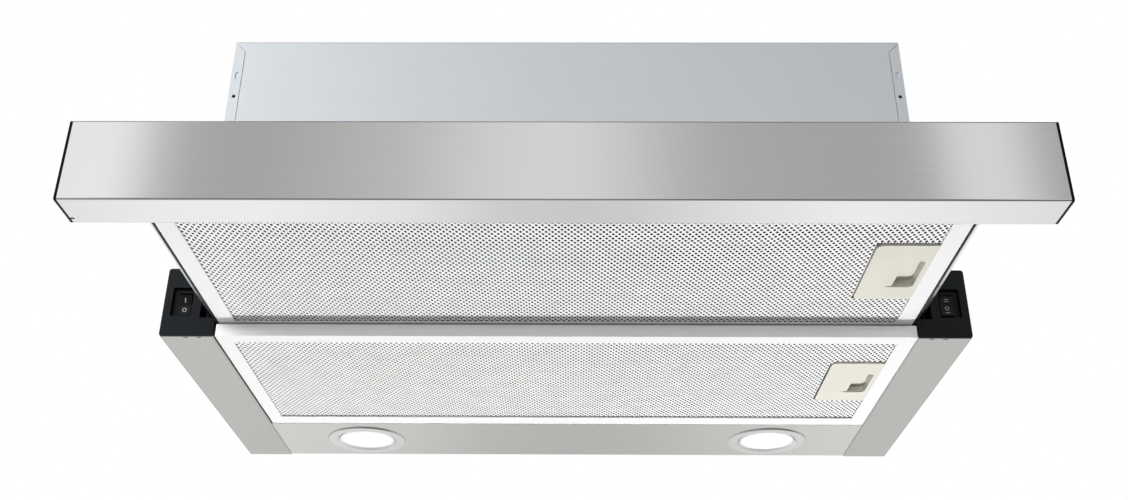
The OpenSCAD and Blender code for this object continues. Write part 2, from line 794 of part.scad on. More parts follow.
// Inner channel on the tray's side plate
module runner_inner(side) {
  curl_t = 0.8;
  curl_h = 2.4;
  color("gainsboro") placed() on_side(side) difference() {
    along_y(inner_y, inner_y + inner_len) {
      translate([inner_x, inner_z0]) square([runner_t, inner_z1 - inner_z0]);
      for (z = [inner_z0, inner_z1 - runner_t])
        translate([inner_x, z]) square([inner_flange_x - inner_x, runner_t]);
      for (z = [inner_z0, inner_z1 - curl_h]) translate([inner_flange_x - curl_t, z]) square([curl_t, curl_h]);
    }
    for (y = tray_screw_stations()) rod_x(y, tray_screw_z, runner_hole_r, inner_x - 1, inner_x + 3);
  }
}

// Where the screws through a tray side stand
function tray_screw_stations() = [inner_y + 20, inner_y + 150];

// Plastic strip that spaces the balls of both tracks
module ball_cage(side) {
  pocket = ball_r + 0.15;
  x0 = ball_x - 1.7;
  rail_x = inner_flange_x + 0.35;
  color("ivory") placed() on_side(side) difference() {
    union() {
      for (z = track_z)
        span([x0, cage_y, z - cage_t / 2], [rail_x + cage_t, cage_y + cage_len, z + cage_t / 2]);
      span([rail_x, cage_y, track_z[0]], [rail_x + cage_t, cage_y + cage_len, track_z[1]]);
    }
    for (y = ball_stations(), z = track_z) rod_z(ball_x, y, pocket, z - 3, z + 3);
    span([rail_x - 1, cage_y + 8, track_z[0] + 5], [rail_x + 3, cage_y + cage_len - 8, track_z[1] - 5]);
  }
}

function ball_stations() = [
  for (i = [0 : balls_per_track - 1]) cage_y + cage_len * (i + 0.5) / balls_per_track
];

module balls(side) {
  color("silver") placed() on_side(side)
    for (y = ball_stations(), z = track_z) translate([ball_x, y, z]) sphere(r = ball_r, $fn = 32);
}

// ---------------------------------------------------------------------------
// Filters

// Folded aluminium border, open inside, its left edge set in by slack; lugs out to lug_x hold its left side
module filter_frame(half_x, slack, border, y0, l, z0, latch_y, lug_x) {
  x0 = slack - half_x;
  y1 = y0 + l;
  rim = 7;
  rim_t = 0.8;
  color("whitesmoke") placed() difference() {
    union() {
      translate([0, 0, z0]) linear_extrude(filter_skin) difference() {
        round_rect([x0, y0], [half_x, y1], 1);
        translate([-(half_x - border), y0 + border_front])
          square([2 * (half_x - border), l - border_front - border_rear]);
      }
      translate([0, 0, z0]) linear_extrude(filter_t) difference() {
        round_rect([x0, y0], [half_x, y1], 1);
        inner_rect(x0, half_x, y0, l, sheet);
      }
      translate([0, 0, z0 + filter_t - rim_t]) linear_extrude(rim_t) difference() {
        round_rect([x0, y0], [half_x, y1], 1);
        inner_rect(x0, half_x, y0, l, rim);
      }
      for (y = lug_stations(y0, l)) span([-lug_x, y - 4, z0 + 3.4], [x0 + 0.5, y + 4, z0 + 5.4]);
    }
    span([half_x - sheet - 1, latch_y - bolt_w / 2 - 0.4, z0 + bolt_z0 - 0.3],
         [half_x + 1, latch_y + bolt_w / 2 + 0.4, z0 + bolt_z1 + 0.3]);
  }
}

// The rectangle inside a filter's outline, inset all round
module inner_rect(x0, x1, y0, l, inset) {
  translate([x0 + inset, y0 + inset]) square([x1 - x0 - 2 * inset, l - 2 * inset]);
}

// Layers of expanded metal behind the visible one, with a gap for the latch
module filter_pack(half_x, slack, y0, l, z0, latch_x, latch_y) {
  color("gainsboro") placed() for (i = [0 : pack_layers - 1])
    translate([0, 0, z0 + pack_z + i * (pack_t - pack_layer_t) / (pack_layers - 1)])
      linear_extrude(pack_layer_t) difference() {
        inner_rect(slack - half_x, half_x, y0, l, filling_in);
        latch_gap(latch_x, latch_y, half_x);
      }
}

// The room that the latch takes out of the pack and the net, out to the filter's right edge
module latch_gap(latch_x, latch_y, half_x) {
  gap = 0.4;
  x0 = latch_x - latch_w / 2 - gap;
  translate([x0, latch_y - latch_l / 2 - gap]) square([half_x + 1 - x0, latch_l + 2 * gap]);
}

// Expanded metal: rows of diamonds, every second row shifted by half an opening
module filter_net(half_x, slack, border, y0, l, z0, latch_x, latch_y) {
  net_w = 2 * (half_x - border);
  net_l = l - border_front - border_rear;
  pitch_x = net_w / (net_columns + 0.5);
  pitch_y = net_l / (net_rows + 1);
  hx = pitch_x / 2 - net_strand / 2;
  hy = pitch_y - net_strand;
  color("silver") placed() translate([0, 0, z0 + net_z]) linear_extrude(net_t) difference() {
    inner_rect(slack - half_x, half_x, y0, l, filling_in);
    latch_gap(latch_x, latch_y, half_x);
    for (row = [0 : net_rows - 1], column = [0 : net_columns - 1]) {
      x = -net_w / 2 + pitch_x * (column + 0.5 + 0.5 * (row % 2));
      y = y0 + border_front + pitch_y * (row + 1);
      near_latch = x > latch_x - latch_w / 2 - hx - 1 && abs(y - latch_y) < latch_l / 2 + hy;
      if (!near_latch) translate([x, y]) polygon([[-hx, 0], [0, -hy], [hx, 0], [0, hy]]);
    }
  }
}

// Latch plate: visible face with a finger opening, walls, and a slot for the bolt
module latch_plate(x, y, z0) {
  hw = latch_w / 2;
  ramp_x1 = grip_foot + 0.4;
  color([0.9, 0.89, 0.84]) placed() translate([x, y, z0]) difference() {
    union() {
      linear_extrude(latch_skin) latch_outline(0);
      linear_extrude(latch_h) difference() {
        latch_outline(0);
        latch_outline(latch_wall);
      }
      // walls round the finger pocket, open to the left
      translate([0, 0, latch_skin - eps]) linear_extrude(grip_top - latch_skin - 0.15) difference() {
        pocket_outline(pocket_wall);
        translate([grip_x0 - 4, pocket_y0]) square([pocket_x1 - pocket_r - grip_x0 + 4, pocket_y1 - pocket_y0]);
      }
    }
    translate([0, 0, -1]) linear_extrude(grip_top + 2) intersection() {
      pocket_outline(0);
      translate([slope_x, pocket_y0 - 1]) square([pocket_x1, pocket_y1 - pocket_y0 + 2]);
    }
    intersection() {
      translate([0, 0, -1]) linear_extrude(latch_skin + 2) pocket_outline(0);
      along_y(pocket_y0 - 1, pocket_y1 + 1)
        polygon([[pocket_x0, -eps], [ramp_x1, -eps], [ramp_x1, slope_z], [slope_x, slope_z]]);
    }
    span([hw - 3, -bolt_w / 2 - 0.4, bolt_z0 - 0.3], [hw + 1, bolt_w / 2 + 0.4, latch_h + 1]);
  }
  // boss and pin that the spring stands on
  color([0.9, 0.89, 0.84]) placed() translate([x, y, z0]) {
    rod_x(ear_y, spring_z, spring_r + 0.5, latch_wall - hw - eps, spring_x0 - 0.5);
    rod_x(ear_y, spring_z, spring_r - 0.9, spring_x0 - 0.6, spring_x0 + 2);
  }
}

// Outline of the finger pocket, drawn larger by grow all round
module pocket_outline(grow) {
  round_rect([pocket_x0 - grow, pocket_y0 - grow], [pocket_x1 + grow, pocket_y1 + grow], pocket_r + grow);
}

// Plate outline with rounded corners on the left and square ones against the border
module latch_outline(inset) {
  hw = latch_w / 2 - inset;
  hl = latch_l / 2 - inset;
  round_rect([-hw, -hl], [hw, hl], latch_corner - inset);
  translate([0, -hl]) square([hw, 2 * hl]);
}

// Sliding latch: a finger grip with a slanted face, a plate over the pocket and the bolt
module latch_slider(x, y, z0, reach) {
  play = 0.2;
  plate_top = grip_top + grip_plate;
  plate_y0 = pocket_y0 - pocket_wall - 1;
  plate_y1 = pocket_y1 + pocket_wall + 1;
  color([0.86, 0.85, 0.79]) placed() translate([x, y, z0]) {
    along_y(pocket_y0 + play, pocket_y1 - play) polygon([
      [grip_x0, grip_z], [grip_foot, grip_z], [grip_head, grip_top + eps], [grip_x0, grip_top + eps]
    ]);
    span([grip_x0, plate_y0, grip_top], [pocket_x1 + 1, plate_y1, plate_top]);
    span([pocket_x1 - 4, -bolt_w / 2, bolt_z0], [reach, bolt_w / 2, bolt_z1]);
    span([ear_x, pocket_y1 + pocket_wall + 0.4, grip_z], [ear_x + 2, ear_y + 2.5, plate_top]);
  }
}

// Points of the latch spring, which the helix and its closest approach are worked out from
function spring_point(turn, r) = [
  spring_x0 + spring_len * turn / spring_curls, ear_y + r * cos(360 * turn), spring_z + r * sin(360 * turn)
];

// Coil spring between the plate's left wall and the slider's ear, one unbroken tube
module latch_spring(x, y, z0) {
  rings = spring_curls * spring_steps;
  lean = spring_pitch / (2 * PI * spring_r);
  points = [
    for (i = [0 : rings], j = [0 : spring_ring - 1])
      let (turn = i / spring_steps, a = 360 * turn, b = 360 * j / spring_ring, c = spring_point(turn, spring_r))
        [
          c[0] + spring_wire * sin(b),
          c[1] + spring_wire * (cos(b) * cos(a) + lean * sin(b) * sin(a)),
          c[2] + spring_wire * (cos(b) * sin(a) - lean * sin(b) * cos(a))
        ]
  ];
  sides = [
    for (i = [0 : rings - 1], j = [0 : spring_ring - 1])
      let (p = i * spring_ring + j, q = i * spring_ring + (j + 1) % spring_ring)
        each [[p, q, q + spring_ring], [p, q + spring_ring, p + spring_ring]]
  ];
  ends = [
    for (j = [1 : spring_ring - 2]) each [
      [0, j + 1, j],
      [rings * spring_ring, rings * spring_ring + j, rings * spring_ring + j + 1]
    ]
  ];
  color("silver") placed() translate([x, y, z0]) polyhedron(points = points, faces = concat(sides, ends));
}

// ---------------------------------------------------------------------------
// Tray

// Two side plates, a front bar inside the fascia and a rear bar
module tray_frame() {
  rear_bar = 14;
  ledge_w = 9;
  ledge_z = front_filter_z + filter_t + 0.4;
  bar_y = fascia_rear - 5.2;
  slot_half = 28;
  slot_pitch = 70;
  color([0.25, 0.25, 0.26]) placed() difference() {
    union() {
      for (s = [-1, 1]) on_side(s) {
        span([tray_x - tray_sheet, fascia_rear - 4, tray_z0], [tray_x, tray_rear, tray_z1]);
        span([tray_x - ledge_w, fascia_rear - 4, ledge_z], [tray_x, tray_rear, ledge_z + tray_sheet]);
      }
      span([-tray_x, bar_y, ledge_z], [tray_x, bar_y + tray_sheet, tray_z1]);
      span([-tray_x, bar_y, tray_z1 - tray_sheet], [tray_x, fascia_rear + 12, tray_z1]);
      span([-tray_x, tray_rear - tray_sheet, ledge_z], [tray_x, tray_rear, tray_z1]);
      span([-tray_x, tray_rear - rear_bar, tray_z1 - tray_sheet], [tray_x, tray_rear, tray_z1]);
      for (x = [-190, 0, 190]) translate([x, 0, 0]) fascia_bracket();
    }
    span([tray_x - 3, front_latch_y - bolt_w / 2 - 0.5, front_filter_z + bolt_z0 - 0.5],
         [tray_x + 1, front_latch_y + bolt_w / 2 + 0.5, front_filter_z + bolt_z1 + 0.5]);
    for (y = lug_stations(front_filter_y, front_filter_l))
      span([-tray_x - 1, y - 5, front_filter_z + 3], [-tray_x + 3, y + 5, front_filter_z + 6]);
    for (s = [-1, 1], y = tray_screw_stations())
      rod_x(y, tray_screw_z, runner_hole_r, s > 0 ? tray_x - 3 : -tray_x - 1, s > 0 ? tray_x + 1 : 3 - tray_x);
    // air slots in the rear bar, towards the blower
    for (i = [-3 : 3])
      span([i * slot_pitch - slot_half, tray_rear - 3, 24], [i * slot_pitch + slot_half, tray_rear + 1, 37]);
  }
}

// Folded bracket between the tray's front bar and the inside of the fascia's front
module fascia_bracket() {
  y0 = fascia_front + sheet;
  half = 14;
  z0 = 24;
  z1 = 42;
  for (x = [-half, half - tray_sheet]) span([x, y0, z0], [x + tray_sheet, fascia_rear - 4.6, z1]);
  span([-half, y0, z0], [half, y0 + tray_sheet, z1]);
}

// Cover sheet over the tray that leads the air back to the blower
module tray_cover() {
  color("lightsteelblue") placed() {
    span([-tray_x, fascia_rear - 5, tray_z1], [tray_x, tray_rear + 14, tray_z1 + sheet]);
    span([-tray_x, fascia_rear - 5, tray_z1 + sheet - eps], [tray_x, fascia_rear - 4, tray_z1 + 3]);
  }
}

// Folded stainless fascia: front, top and bottom, with a return at the rear of both
module fascia() {
  x = half_w - fascia_cap_t;
  color("silver") placed() difference() {
    along_x(-x, x) difference() {
      round_rect([fascia_front, 0], [fascia_rear, arm_h], fascia_bend_r);
      round_rect([fascia_front + sheet, sheet], [fascia_rear - sheet, arm_h - sheet], fascia_bend_r - 1);
      translate([fascia_rear - sheet - 1, 9.5]) square([4, arm_h - 13.2]);
    }
    // window for the snap of the left end cap
    span([-x - 1, fascia_rear - 7.2, -1], [-x + 2.4, fascia_rear - 5.4, 2]);
  }
}

// Black end cap: a rim that covers the fascia's edge and a hollow plug inside it
module fascia_cap(side) {
  plug = sheet + 0.15;
  in = plug + 1.5;
  x1 = half_w - fascia_cap_t;
  color("black") placed() on_side(side) {
    along_x(x1, half_w) round_rect([fascia_front, 0], [fascia_rear, arm_h], fascia_bend_r + 0.1);
    along_x(x1 - 8, x1 + eps) difference() {
      round_rect([fascia_front + plug, plug], [fascia_rear - plug, arm_h - plug], 0.6);
      round_rect([fascia_front + in, in], [fascia_rear - in, arm_h - in], 0.6);
    }
    if (side < 0) span([x1 - 2.1, fascia_rear - 7, 0.15], [x1 + eps, fascia_rear - 5.6, 2]);
  }
}

// ---------------------------------------------------------------------------
// Switches

// Switch body in an arm cap, open at the front, with a bore for the rocker's pin
module switch_body() {
  y0 = front_y + 3.1;
  y1 = front_y + 18;
  gap = 0.35;
  end_gap = gap + 0.6;
  inset = 0.4;
  color("black") placed() difference() {
    union() {
      along_y(y0, y1)
        round_rect([switch_x0 + inset, switch_z0 + inset], [switch_x1 - inset, switch_z1 - inset], 0.6);
      for (z = [rocker_z - 5, rocker_z, rocker_z + 5])
        span([rocker_x - 2.4, y1 - eps, z - 0.4], [rocker_x + 2.4, y1 + 6, z + 0.4]);
    }
    span([rocker_x - rocker_half_x - gap, y0 - 1, rocker_z - rocker_half_z - end_gap],
         [rocker_x + rocker_half_x + gap, y1 - 2, rocker_z + rocker_half_z + end_gap]);
    rod_x(rocker_y, rocker_z, rocker_pin_r + 0.05, switch_x0 - 1, switch_x1 + 1);
  }
}

// Rocker with two faces that meet in a shallow valley, on a pin along X
module rocker(tilt, marks) {
  hz = rocker_half_z;
  face = rocker_face;
  rise = rocker_rise;
  color([0.09, 0.095, 0.1]) placed() translate([rocker_x, rocker_y, rocker_z]) rotate([tilt, 0, 0])
  difference() {
    union() {
      along_x(-rocker_half_x, rocker_half_x) polygon(concat(
        [[-face - rise, -hz + 0.6], [-face, 0], [-face - rise, hz - 0.6]],
        [for (a = [0 : 15 : 60]) [-face - rise + 0.6 + 5 * sin(a), (hz - 0.2) * cos(a * 0.9)]],
        [for (a = [60 : -15 : 0]) [-face - rise + 0.6 + 5 * sin(a), -(hz - 0.2) * cos(a * 0.9)]]
      ));
      rod_x(0, 0, 2.6, -rocker_half_x, rocker_half_x);
      rod_x(0, 0, rocker_pin_r, switch_x0 + 1 - rocker_x, switch_x1 - 1 - rocker_x);
    }
    // marks cut 0.3 deep into the faces: strokes lie across the speed rocker
    if (marks == "speed") {
      rocker_mark(4.6) for (z = [-1.1, 0.5]) span([-1.7, -1, z], [1.7, 0.3, z + 0.6]);
      rocker_mark(-1.6) ring_mark();
      rocker_mark(-5.4) span([-1.7, -1, -0.3], [1.7, 0.3, 0.3]);
    } else {
      rocker_mark(4) span([-0.35, -1, -1.9], [0.35, 0.3, 1.9]);
      rocker_mark(-3.6) ring_mark();
    }
  }
}

// Puts a mark on the rocker's face at a height over its middle
module rocker_mark(z) {
  slope = rocker_rise / (rocker_half_z - 0.6);
  translate([0, -rocker_face - slope * abs(z), z]) rotate([sign(z) * atan(slope), 0, 0]) children();
}

module ring_mark() {
  rotate([90, 0, 0]) translate([0, 0, -0.3]) difference() {
    cylinder(r = 1.7, h = 1.3);
    translate([0, 0, -1]) cylinder(r = 1.1, h = 4);
  }
}

// Door switch that stops the fan when the tray is pushed in
module microswitch() {
  x0 = 225;
  z0 = 36;
  color("black") placed() difference() {
    union() {
      span([x0, leaf_y + 2, z0], [x0 + 20, leaf_y + 12, z0 + 8.5]);
      span([x0 + 4, leaf_y + 0.8, z0 + 3], [x0 + 6, leaf_y + 2.1, z0 + 5]);
      span([x0 - 4, leaf_y + 12, sheet], [x0 + 24, leaf_y + 13.2, z0 + 10.5]);
      span([x0 - 4, leaf_y + 12, sheet], [x0 + 24, leaf_y + 24, sheet + 1.2]);
      for (x = [x0 + 3, x0 + 10, x0 + 17]) span([x - 0.4, leaf_y + 4, z0 - 5], [x + 0.4, leaf_y + 8, z0 + eps]);
    }
    for (x = [x0 + 5, x0 + 15]) rod_y(x, z0 + 6.4, 1.1, leaf_y, leaf_y + 20);
  }
}

// Spring lever of the microswitch, bent forward to where the tray's rear bar arrives
module switch_leaf() {
  x0 = 225;
  z = 38.6;
  color("silver") placed() translate([0, 0, z]) linear_extrude(3.2) polygon([
    [x0 + 19.4, leaf_y + 1.9], [x0 + 19.4, leaf_y + 0.3], [x0 + 17, leaf_y - 1.4], [x0 - 4, leaf_y - 9],
    [x0 - 6, leaf_y - 7.4], [x0 - 5.7, leaf_y - 7.1], [x0 - 4, leaf_y - 8.5], [x0 + 16.8, leaf_y - 1],
    [x0 + 19, leaf_y + 0.5], [x0 + 19, leaf_y + 1.9]
  ]);
}

// ---------------------------------------------------------------------------
// Screws

// Pan head screw along Z, head up, with a cross recess
module pan_screw(shank_r, shank_l, head_r) {
  translate([0, 0, -shank_l]) cylinder(r = shank_r, h = shank_l + 0.1, $fn = 24);
  difference() {
    intersection() {
      cylinder(r = head_r, h = 2, $fn = 32);
      translate([0, 0, -head_r * 1.1]) sphere(r = head_r * 1.65, $fn = 48);
    }
    for (a = [0, 90]) rotate(a) translate([-head_r * 0.55, -0.35, 1]) cube([head_r * 1.1, 0.7, 2]);
  }
}

// Four screws that hold the top plate to the sides, and four through the collar's flange
module housing_screws() {
  color("silver") placed() {
    for (s = [-1, 1], y = [-top_screw_y, top_screw_y])
      translate([s * (half_housing - top_screw_in), y, body_h]) pan_screw(1.95, 8, 3.8);
    for (a = collar_screw_angles) rotate(a) translate([collar_screw_x, 0, body_h + 2.01]) pan_screw(1.7, 2, 2.6);
  }
}

// Four screws that hold the inner runners to the tray's side plates
module tray_screws() {
  color("silver") placed() for (s = [-1, 1], y = tray_screw_stations()) on_side(s)
    translate([tray_x - tray_sheet, y, tray_screw_z]) rotate([0, -90, 0]) pan_screw(1.95, 3.4, 3.6);
}

// ---------------------------------------------------------------------------
// Prints the closest approach of the latch spring's wire to itself
echo(spring_gap = spring_gap);

housing_wrap();
housing_side(-1);  // housing_side_left
housing_side(1);  // housing_side_right
rear_panel();
side_arm(-1);  // side_arm_left
side_arm(1);  // side_arm_right
arm_cap(-1);  // cap_left
arm_cap(1);  // cap_right
lamp_panel();
lamp_ring(-1);  // lamp_ring_left
lamp_ring(1);  // lamp_ring_right
lamp_lens(-1);  // lamp_lens_left
lamp_lens(1);  // lamp_lens_right
lamp_body(-1);  // lamp_body_left
lamp_body(1);  // lamp_body_right
fan_housing();
motor();
motor_bracket();
capacitor();
terminal_box();
cable_gland();
duct_collar();
flap_pin();
runner_outer(-1);  // runner_outer_left
runner_outer(1);  // runner_outer_right
filter_frame(rear_filter_x, rear_filter_slack, border_side_rear, rear_filter_y, rear_filter_l, rear_filter_z,  // rear_filter_frame
               rear_latch_y, arm_in + 0.9);
filter_pack(rear_filter_x, rear_filter_slack, rear_filter_y, rear_filter_l, rear_filter_z,  // rear_filter_pack
              rear_latch_x, rear_latch_y);
filter_net(rear_filter_x, rear_filter_slack, border_side_rear, rear_filter_y, rear_filter_l, rear_filter_z,  // rear_filter_mesh
             rear_latch_x, rear_latch_y);
latch_plate(rear_latch_x, rear_latch_y, rear_filter_z);  // rear_latch_plate
latch_spring(rear_latch_x, rear_latch_y, rear_filter_z);  // rear_latch_spring
mirror([1, 0, 0]) switch_body();  // light_switch
switch_body();  // speed_switch
microswitch();
switch_leaf();
housing_screws();
tray_frame();
tray_cover();
fascia();
fascia_cap(-1);  // fascia_cap_left
fascia_cap(1);  // fascia_cap_right
runner_inner(-1);  // runner_inner_left
runner_inner(1);  // runner_inner_right
filter_frame(front_filter_x, 0, border_side, front_filter_y, front_filter_l, front_filter_z, front_latch_y,  // front_filter_frame
               tray_x + 0.15);
filter_pack(front_filter_x, 0, front_filter_y, front_filter_l, front_filter_z,  // front_filter_pack
              front_latch_x, front_latch_y);
filter_net(front_filter_x, 0, border_side, front_filter_y, front_filter_l, front_filter_z,  // front_filter_mesh
             front_latch_x, front_latch_y);
latch_plate(front_latch_x, front_latch_y, front_filter_z);  // front_latch_plate
latch_spring(front_latch_x, front_latch_y, front_filter_z);  // front_latch_spring
tray_screws();
impeller();
fan_shaft();
flap(-1);  // flap_front
flap(1);  // flap_rear
ball_cage(-1);  // cage_left
ball_cage(1);  // cage_right
balls(-1);  // balls_left
balls(1);  // balls_right
latch_slider(front_latch_x, front_latch_y, front_filter_z, tray_x - front_latch_x);  // front_latch
latch_slider(rear_latch_x, rear_latch_y, rear_filter_z, arm_in + 2 - rear_latch_x);  // rear_latch
mirror([1, 0, 0]) rocker(light_tilt, "light");  // light_rocker
rocker(0, "speed");  // speed_rocker
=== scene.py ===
# Looks of the pull out range hood: materials, the fine expanded metal of its filters, studio and camera.
import math

import bpy
from mathutils import Matrix, Vector


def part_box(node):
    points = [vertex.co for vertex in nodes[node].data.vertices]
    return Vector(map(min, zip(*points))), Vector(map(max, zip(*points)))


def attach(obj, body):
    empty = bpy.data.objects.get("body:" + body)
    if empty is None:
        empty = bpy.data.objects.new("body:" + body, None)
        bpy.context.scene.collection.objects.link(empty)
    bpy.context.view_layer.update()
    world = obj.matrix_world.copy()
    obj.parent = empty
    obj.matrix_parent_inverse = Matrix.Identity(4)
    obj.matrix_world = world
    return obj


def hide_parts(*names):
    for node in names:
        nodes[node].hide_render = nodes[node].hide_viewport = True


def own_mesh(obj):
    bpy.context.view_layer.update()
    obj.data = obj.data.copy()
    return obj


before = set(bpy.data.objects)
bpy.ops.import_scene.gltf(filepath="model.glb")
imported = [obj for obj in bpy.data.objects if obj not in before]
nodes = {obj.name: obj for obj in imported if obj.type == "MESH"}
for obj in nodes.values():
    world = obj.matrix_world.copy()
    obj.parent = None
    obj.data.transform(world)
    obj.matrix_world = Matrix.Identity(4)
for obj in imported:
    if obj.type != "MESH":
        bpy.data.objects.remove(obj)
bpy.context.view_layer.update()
MM = 0.001

# ---------------------------------------------------------------------------
# Camera, at the photograph's angle

# the photograph's width, and the focal length that its corners gave, both in pixels
IMAGE_W = 1128
FOCAL_PX = 1220.5
SENSOR_MM = 36.0
CAMERA_AT = (0.00825, -0.9692, -0.6165)
PITCH, YAW, ROLL = 0.472, -0.011, 0.007
CLIP_START, CLIP_END = 0.01, 50


def camera_axes():
    """Right, up and forward of the camera, in the row frame."""
    level = math.cos(PITCH)
    forward = Vector((math.sin(YAW) * level, math.cos(YAW) * level, math.sin(PITCH)))
    right = Vector((math.cos(YAW), -math.sin(YAW), 0))
    up = right.cross(forward)
    rolled_right = math.cos(ROLL) * right + math.sin(ROLL) * up
    rolled_up = math.cos(ROLL) * up - math.sin(ROLL) * right
    return rolled_right, rolled_up, forward


def make_camera():
    data = bpy.data.cameras.new("camera")
    data.sensor_width = SENSOR_MM
    data.lens = FOCAL_PX / IMAGE_W * SENSOR_MM
    data.clip_start, data.clip_end = CLIP_START, CLIP_END
    obj = bpy.data.objects.new("camera", data)
    bpy.context.scene.collection.objects.link(obj)
    right, up, forward = camera_axes()
    turn = Matrix((right, up, -forward)).transposed()
    obj.matrix_world = Matrix.Translation(CAMERA_AT) @ turn.to_4x4()
    bpy.context.scene.camera = obj


# ---------------------------------------------------------------------------
# Studio: world, lamps and floor

WHITE = (1, 1, 1, 1)
# soft light that dull surfaces get from the front and from the rear
AMBIENT_FRONT, AMBIENT_REAR = 0.14, 0.2
# (name, place, point it looks at, size, watts)
LAMPS = [
    ("key_left", (-1.0, -0.62, 0.2), (0, -0.14, -0.1), (0.6, 0.8), 21),
    ("fill_right", (1.7, -1.5, 0.1), (0, -0.14, -0.15), (1.2, 1.2), 16),
    ("key_under", (0.3, 1.35, -2.0), (0, -0.3, -0.26), (0.34, 0.34), 63),
    ("under_left", (-0.7, -1.7, -0.72), (0, -0.14, -0.26), (0.5, 0.5), 5),
    ("top_soft", (0.3, 0.6, 2.0), (0, 0, 0), (1.6, 1.6), 12),
    ("rear_soft", (0.5, 2.0, 0.7), (0, 0.1, -0.1), (1.6, 1.6), 14)
]
FLOOR_Z, FLOOR_HALF = -2.6, 8.0
# the floor's own colour, and how much brighter only the camera sees it
FLOOR_COLOUR, FLOOR_SHOWN = 0.5, 0.62


def grey(value):
    return (value, value, value, 1)


def new_node(tree, kind, **settings):
    node = tree.nodes.new(kind)
    for key, value in settings.items():
        setattr(node, key, value)
    return node


def maths(tree, operation, a, b=None, c=None, clamp=False):
    """A math node. Each input is a socket or a number."""
    node = new_node(tree, "ShaderNodeMath", operation=operation, use_clamp=clamp)
    for i, value in enumerate((a, b, c)):
        if value is None:
            continue
        if isinstance(value, bpy.types.NodeSocket):
            tree.links.new(value, node.inputs[i])
        else:
            node.inputs[i].default_value = value
    return node.outputs[0]


def ramp(tree, value, stops, interpolation="LINEAR"):
    """A colour ramp through (position, colour) stops."""
    node = new_node(tree, "ShaderNodeValToRGB")
    node.color_ramp.interpolation = interpolation
    elements = node.color_ramp.elements
    elements[0].position, elements[0].color = stops[0]
    elements[1].position, elements[1].color = stops[-1]
    for position, colour in stops[1:-1]:
        elements.new(position).color = colour
    tree.links.new(value, node.inputs[0])
    return node.outputs[0]


def mix(tree, factor, a, b, blend="MIX"):
    """Mixes two colours. Each input is a socket or a value."""
    node = new_node(tree, "ShaderNodeMix", data_type="RGBA", blend_type=blend)
    for socket, value in ((node.inputs[0], factor), (node.inputs[6], a), (node.inputs[7], b)):
        if isinstance(value, bpy.types.NodeSocket):
            tree.links.new(value, socket)
        else:
            socket.default_value = value
    return node.outputs[2]


def seen_rays(tree):
    """Two sockets: 1 for camera rays only, and 1 for glossy and transmission rays only."""
    path = new_node(tree, "ShaderNodeLightPath").outputs
    return path["Is Camera Ray"], maths(tree, "MAXIMUM", path["Is Glossy Ray"], path["Is Transmission Ray"])


# What metal sees of the studio, in front of the hood and behind it, as (degrees to the right, brightness)
SPAN = 60
FRONT_STOPS = [
    (-60, 1.0), (-25.4, 1.2), (-24.3, 1.3), (-23.2, 1.18), (-21.8, 0.7), (-20.4, 0.575), (-17, 0.56),
    (-9.4, 0.735), (-5, 0.925), (-1.2, 1.0), (1.4, 0.935), (6, 0.675), (8.5, 0.6), (15.5, 0.55),
    (18.4, 0.58), (20.1, 1.02), (22.3, 1.07), (24.6, 0.52), (60, 0.48)
]
REAR_STOPS = [
    (-60, 0.9), (-30, 1.0), (-21.8, 1.22), (-17, 1.25), (-9, 1.1), (-4, 0.88), (0, 0.85), (3, 0.87),
    (9.4, 1.09), (14.7, 1.23), (19.5, 1.18), (30, 0.95), (60, 0.9)
]
# and by how far the direction looks up or down, as (its sine, share of that brightness)
FRONT_HEIGHT_STOPS = [
    (-1, 0.3), (-0.3, 0.34), (-0.1, 0.5), (0.05, 0.85), (0.15, 1.0), (0.66, 1.0), (0.78, 0.4),
    (0.88, 0.12), (1, 0.1)
]
REAR_HEIGHT_STOPS = [
    (-1, 0.9), (-0.62, 1.0), (-0.48, 1.06), (-0.36, 0.94), (-0.22, 0.72), (0, 0.65), (0.5, 0.7), (1, 0.1)
]
# how sharply the front of the studio gives way to its rear
REAR_BLEND = 2.5


def spread(stops, half):
    """The stops of a ramp whose ends stand for -half and half."""
    return [((at + half) / (2 * half), grey(level)) for at, level in stops]


def make_world():
    world = bpy.data.worlds.new("studio")
    bpy.context.scene.world = world
    world.use_nodes = True
    tree = world.node_tree
    tree.nodes.clear()
    coordinates = new_node(tree, "ShaderNodeTexCoord")
    split = new_node(tree, "ShaderNodeSeparateXYZ")
    tree.links.new(coordinates.outputs["Generated"], split.inputs[0])
    x, y, z = split.outputs
    depth = maths(tree, "MAXIMUM", maths(tree, "ABSOLUTE", y), 0.001)
    side = maths(tree, "ARCTANGENT", maths(tree, "DIVIDE", x, depth))
    angle = maths(tree, "MULTIPLY_ADD", side, 0.5 / math.radians(SPAN), 0.5, clamp=True)
    height = maths(tree, "MULTIPLY_ADD", z, 0.5, 0.5)
    halves = []
    for by_angle, by_height in ((FRONT_STOPS, FRONT_HEIGHT_STOPS), (REAR_STOPS, REAR_HEIGHT_STOPS)):
        around = ramp(tree, angle, spread(by_angle, SPAN))
        share = ramp(tree, height, spread(by_height, 1))
        halves.append(mix(tree, 1.0, around, share, "MULTIPLY"))
    to_rear = maths(tree, "MULTIPLY_ADD", y, REAR_BLEND, 0.5, clamp=True)
    metal_sees = mix(tree, to_rear, *halves)
    camera_ray, mirror_ray = seen_rays(tree)
    soft_light = mix(tree, to_rear, grey(AMBIENT_FRONT), grey(AMBIENT_REAR))
    lit = mix(tree, mirror_ray, soft_light, metal_sees)
    shown = mix(tree, camera_ray, lit, WHITE)
    background = new_node(tree, "ShaderNodeBackground")
    output = new_node(tree, "ShaderNodeOutputWorld")
    tree.links.new(shown, background.inputs["Color"])
    tree.links.new(background.outputs[0], output.inputs["Surface"])


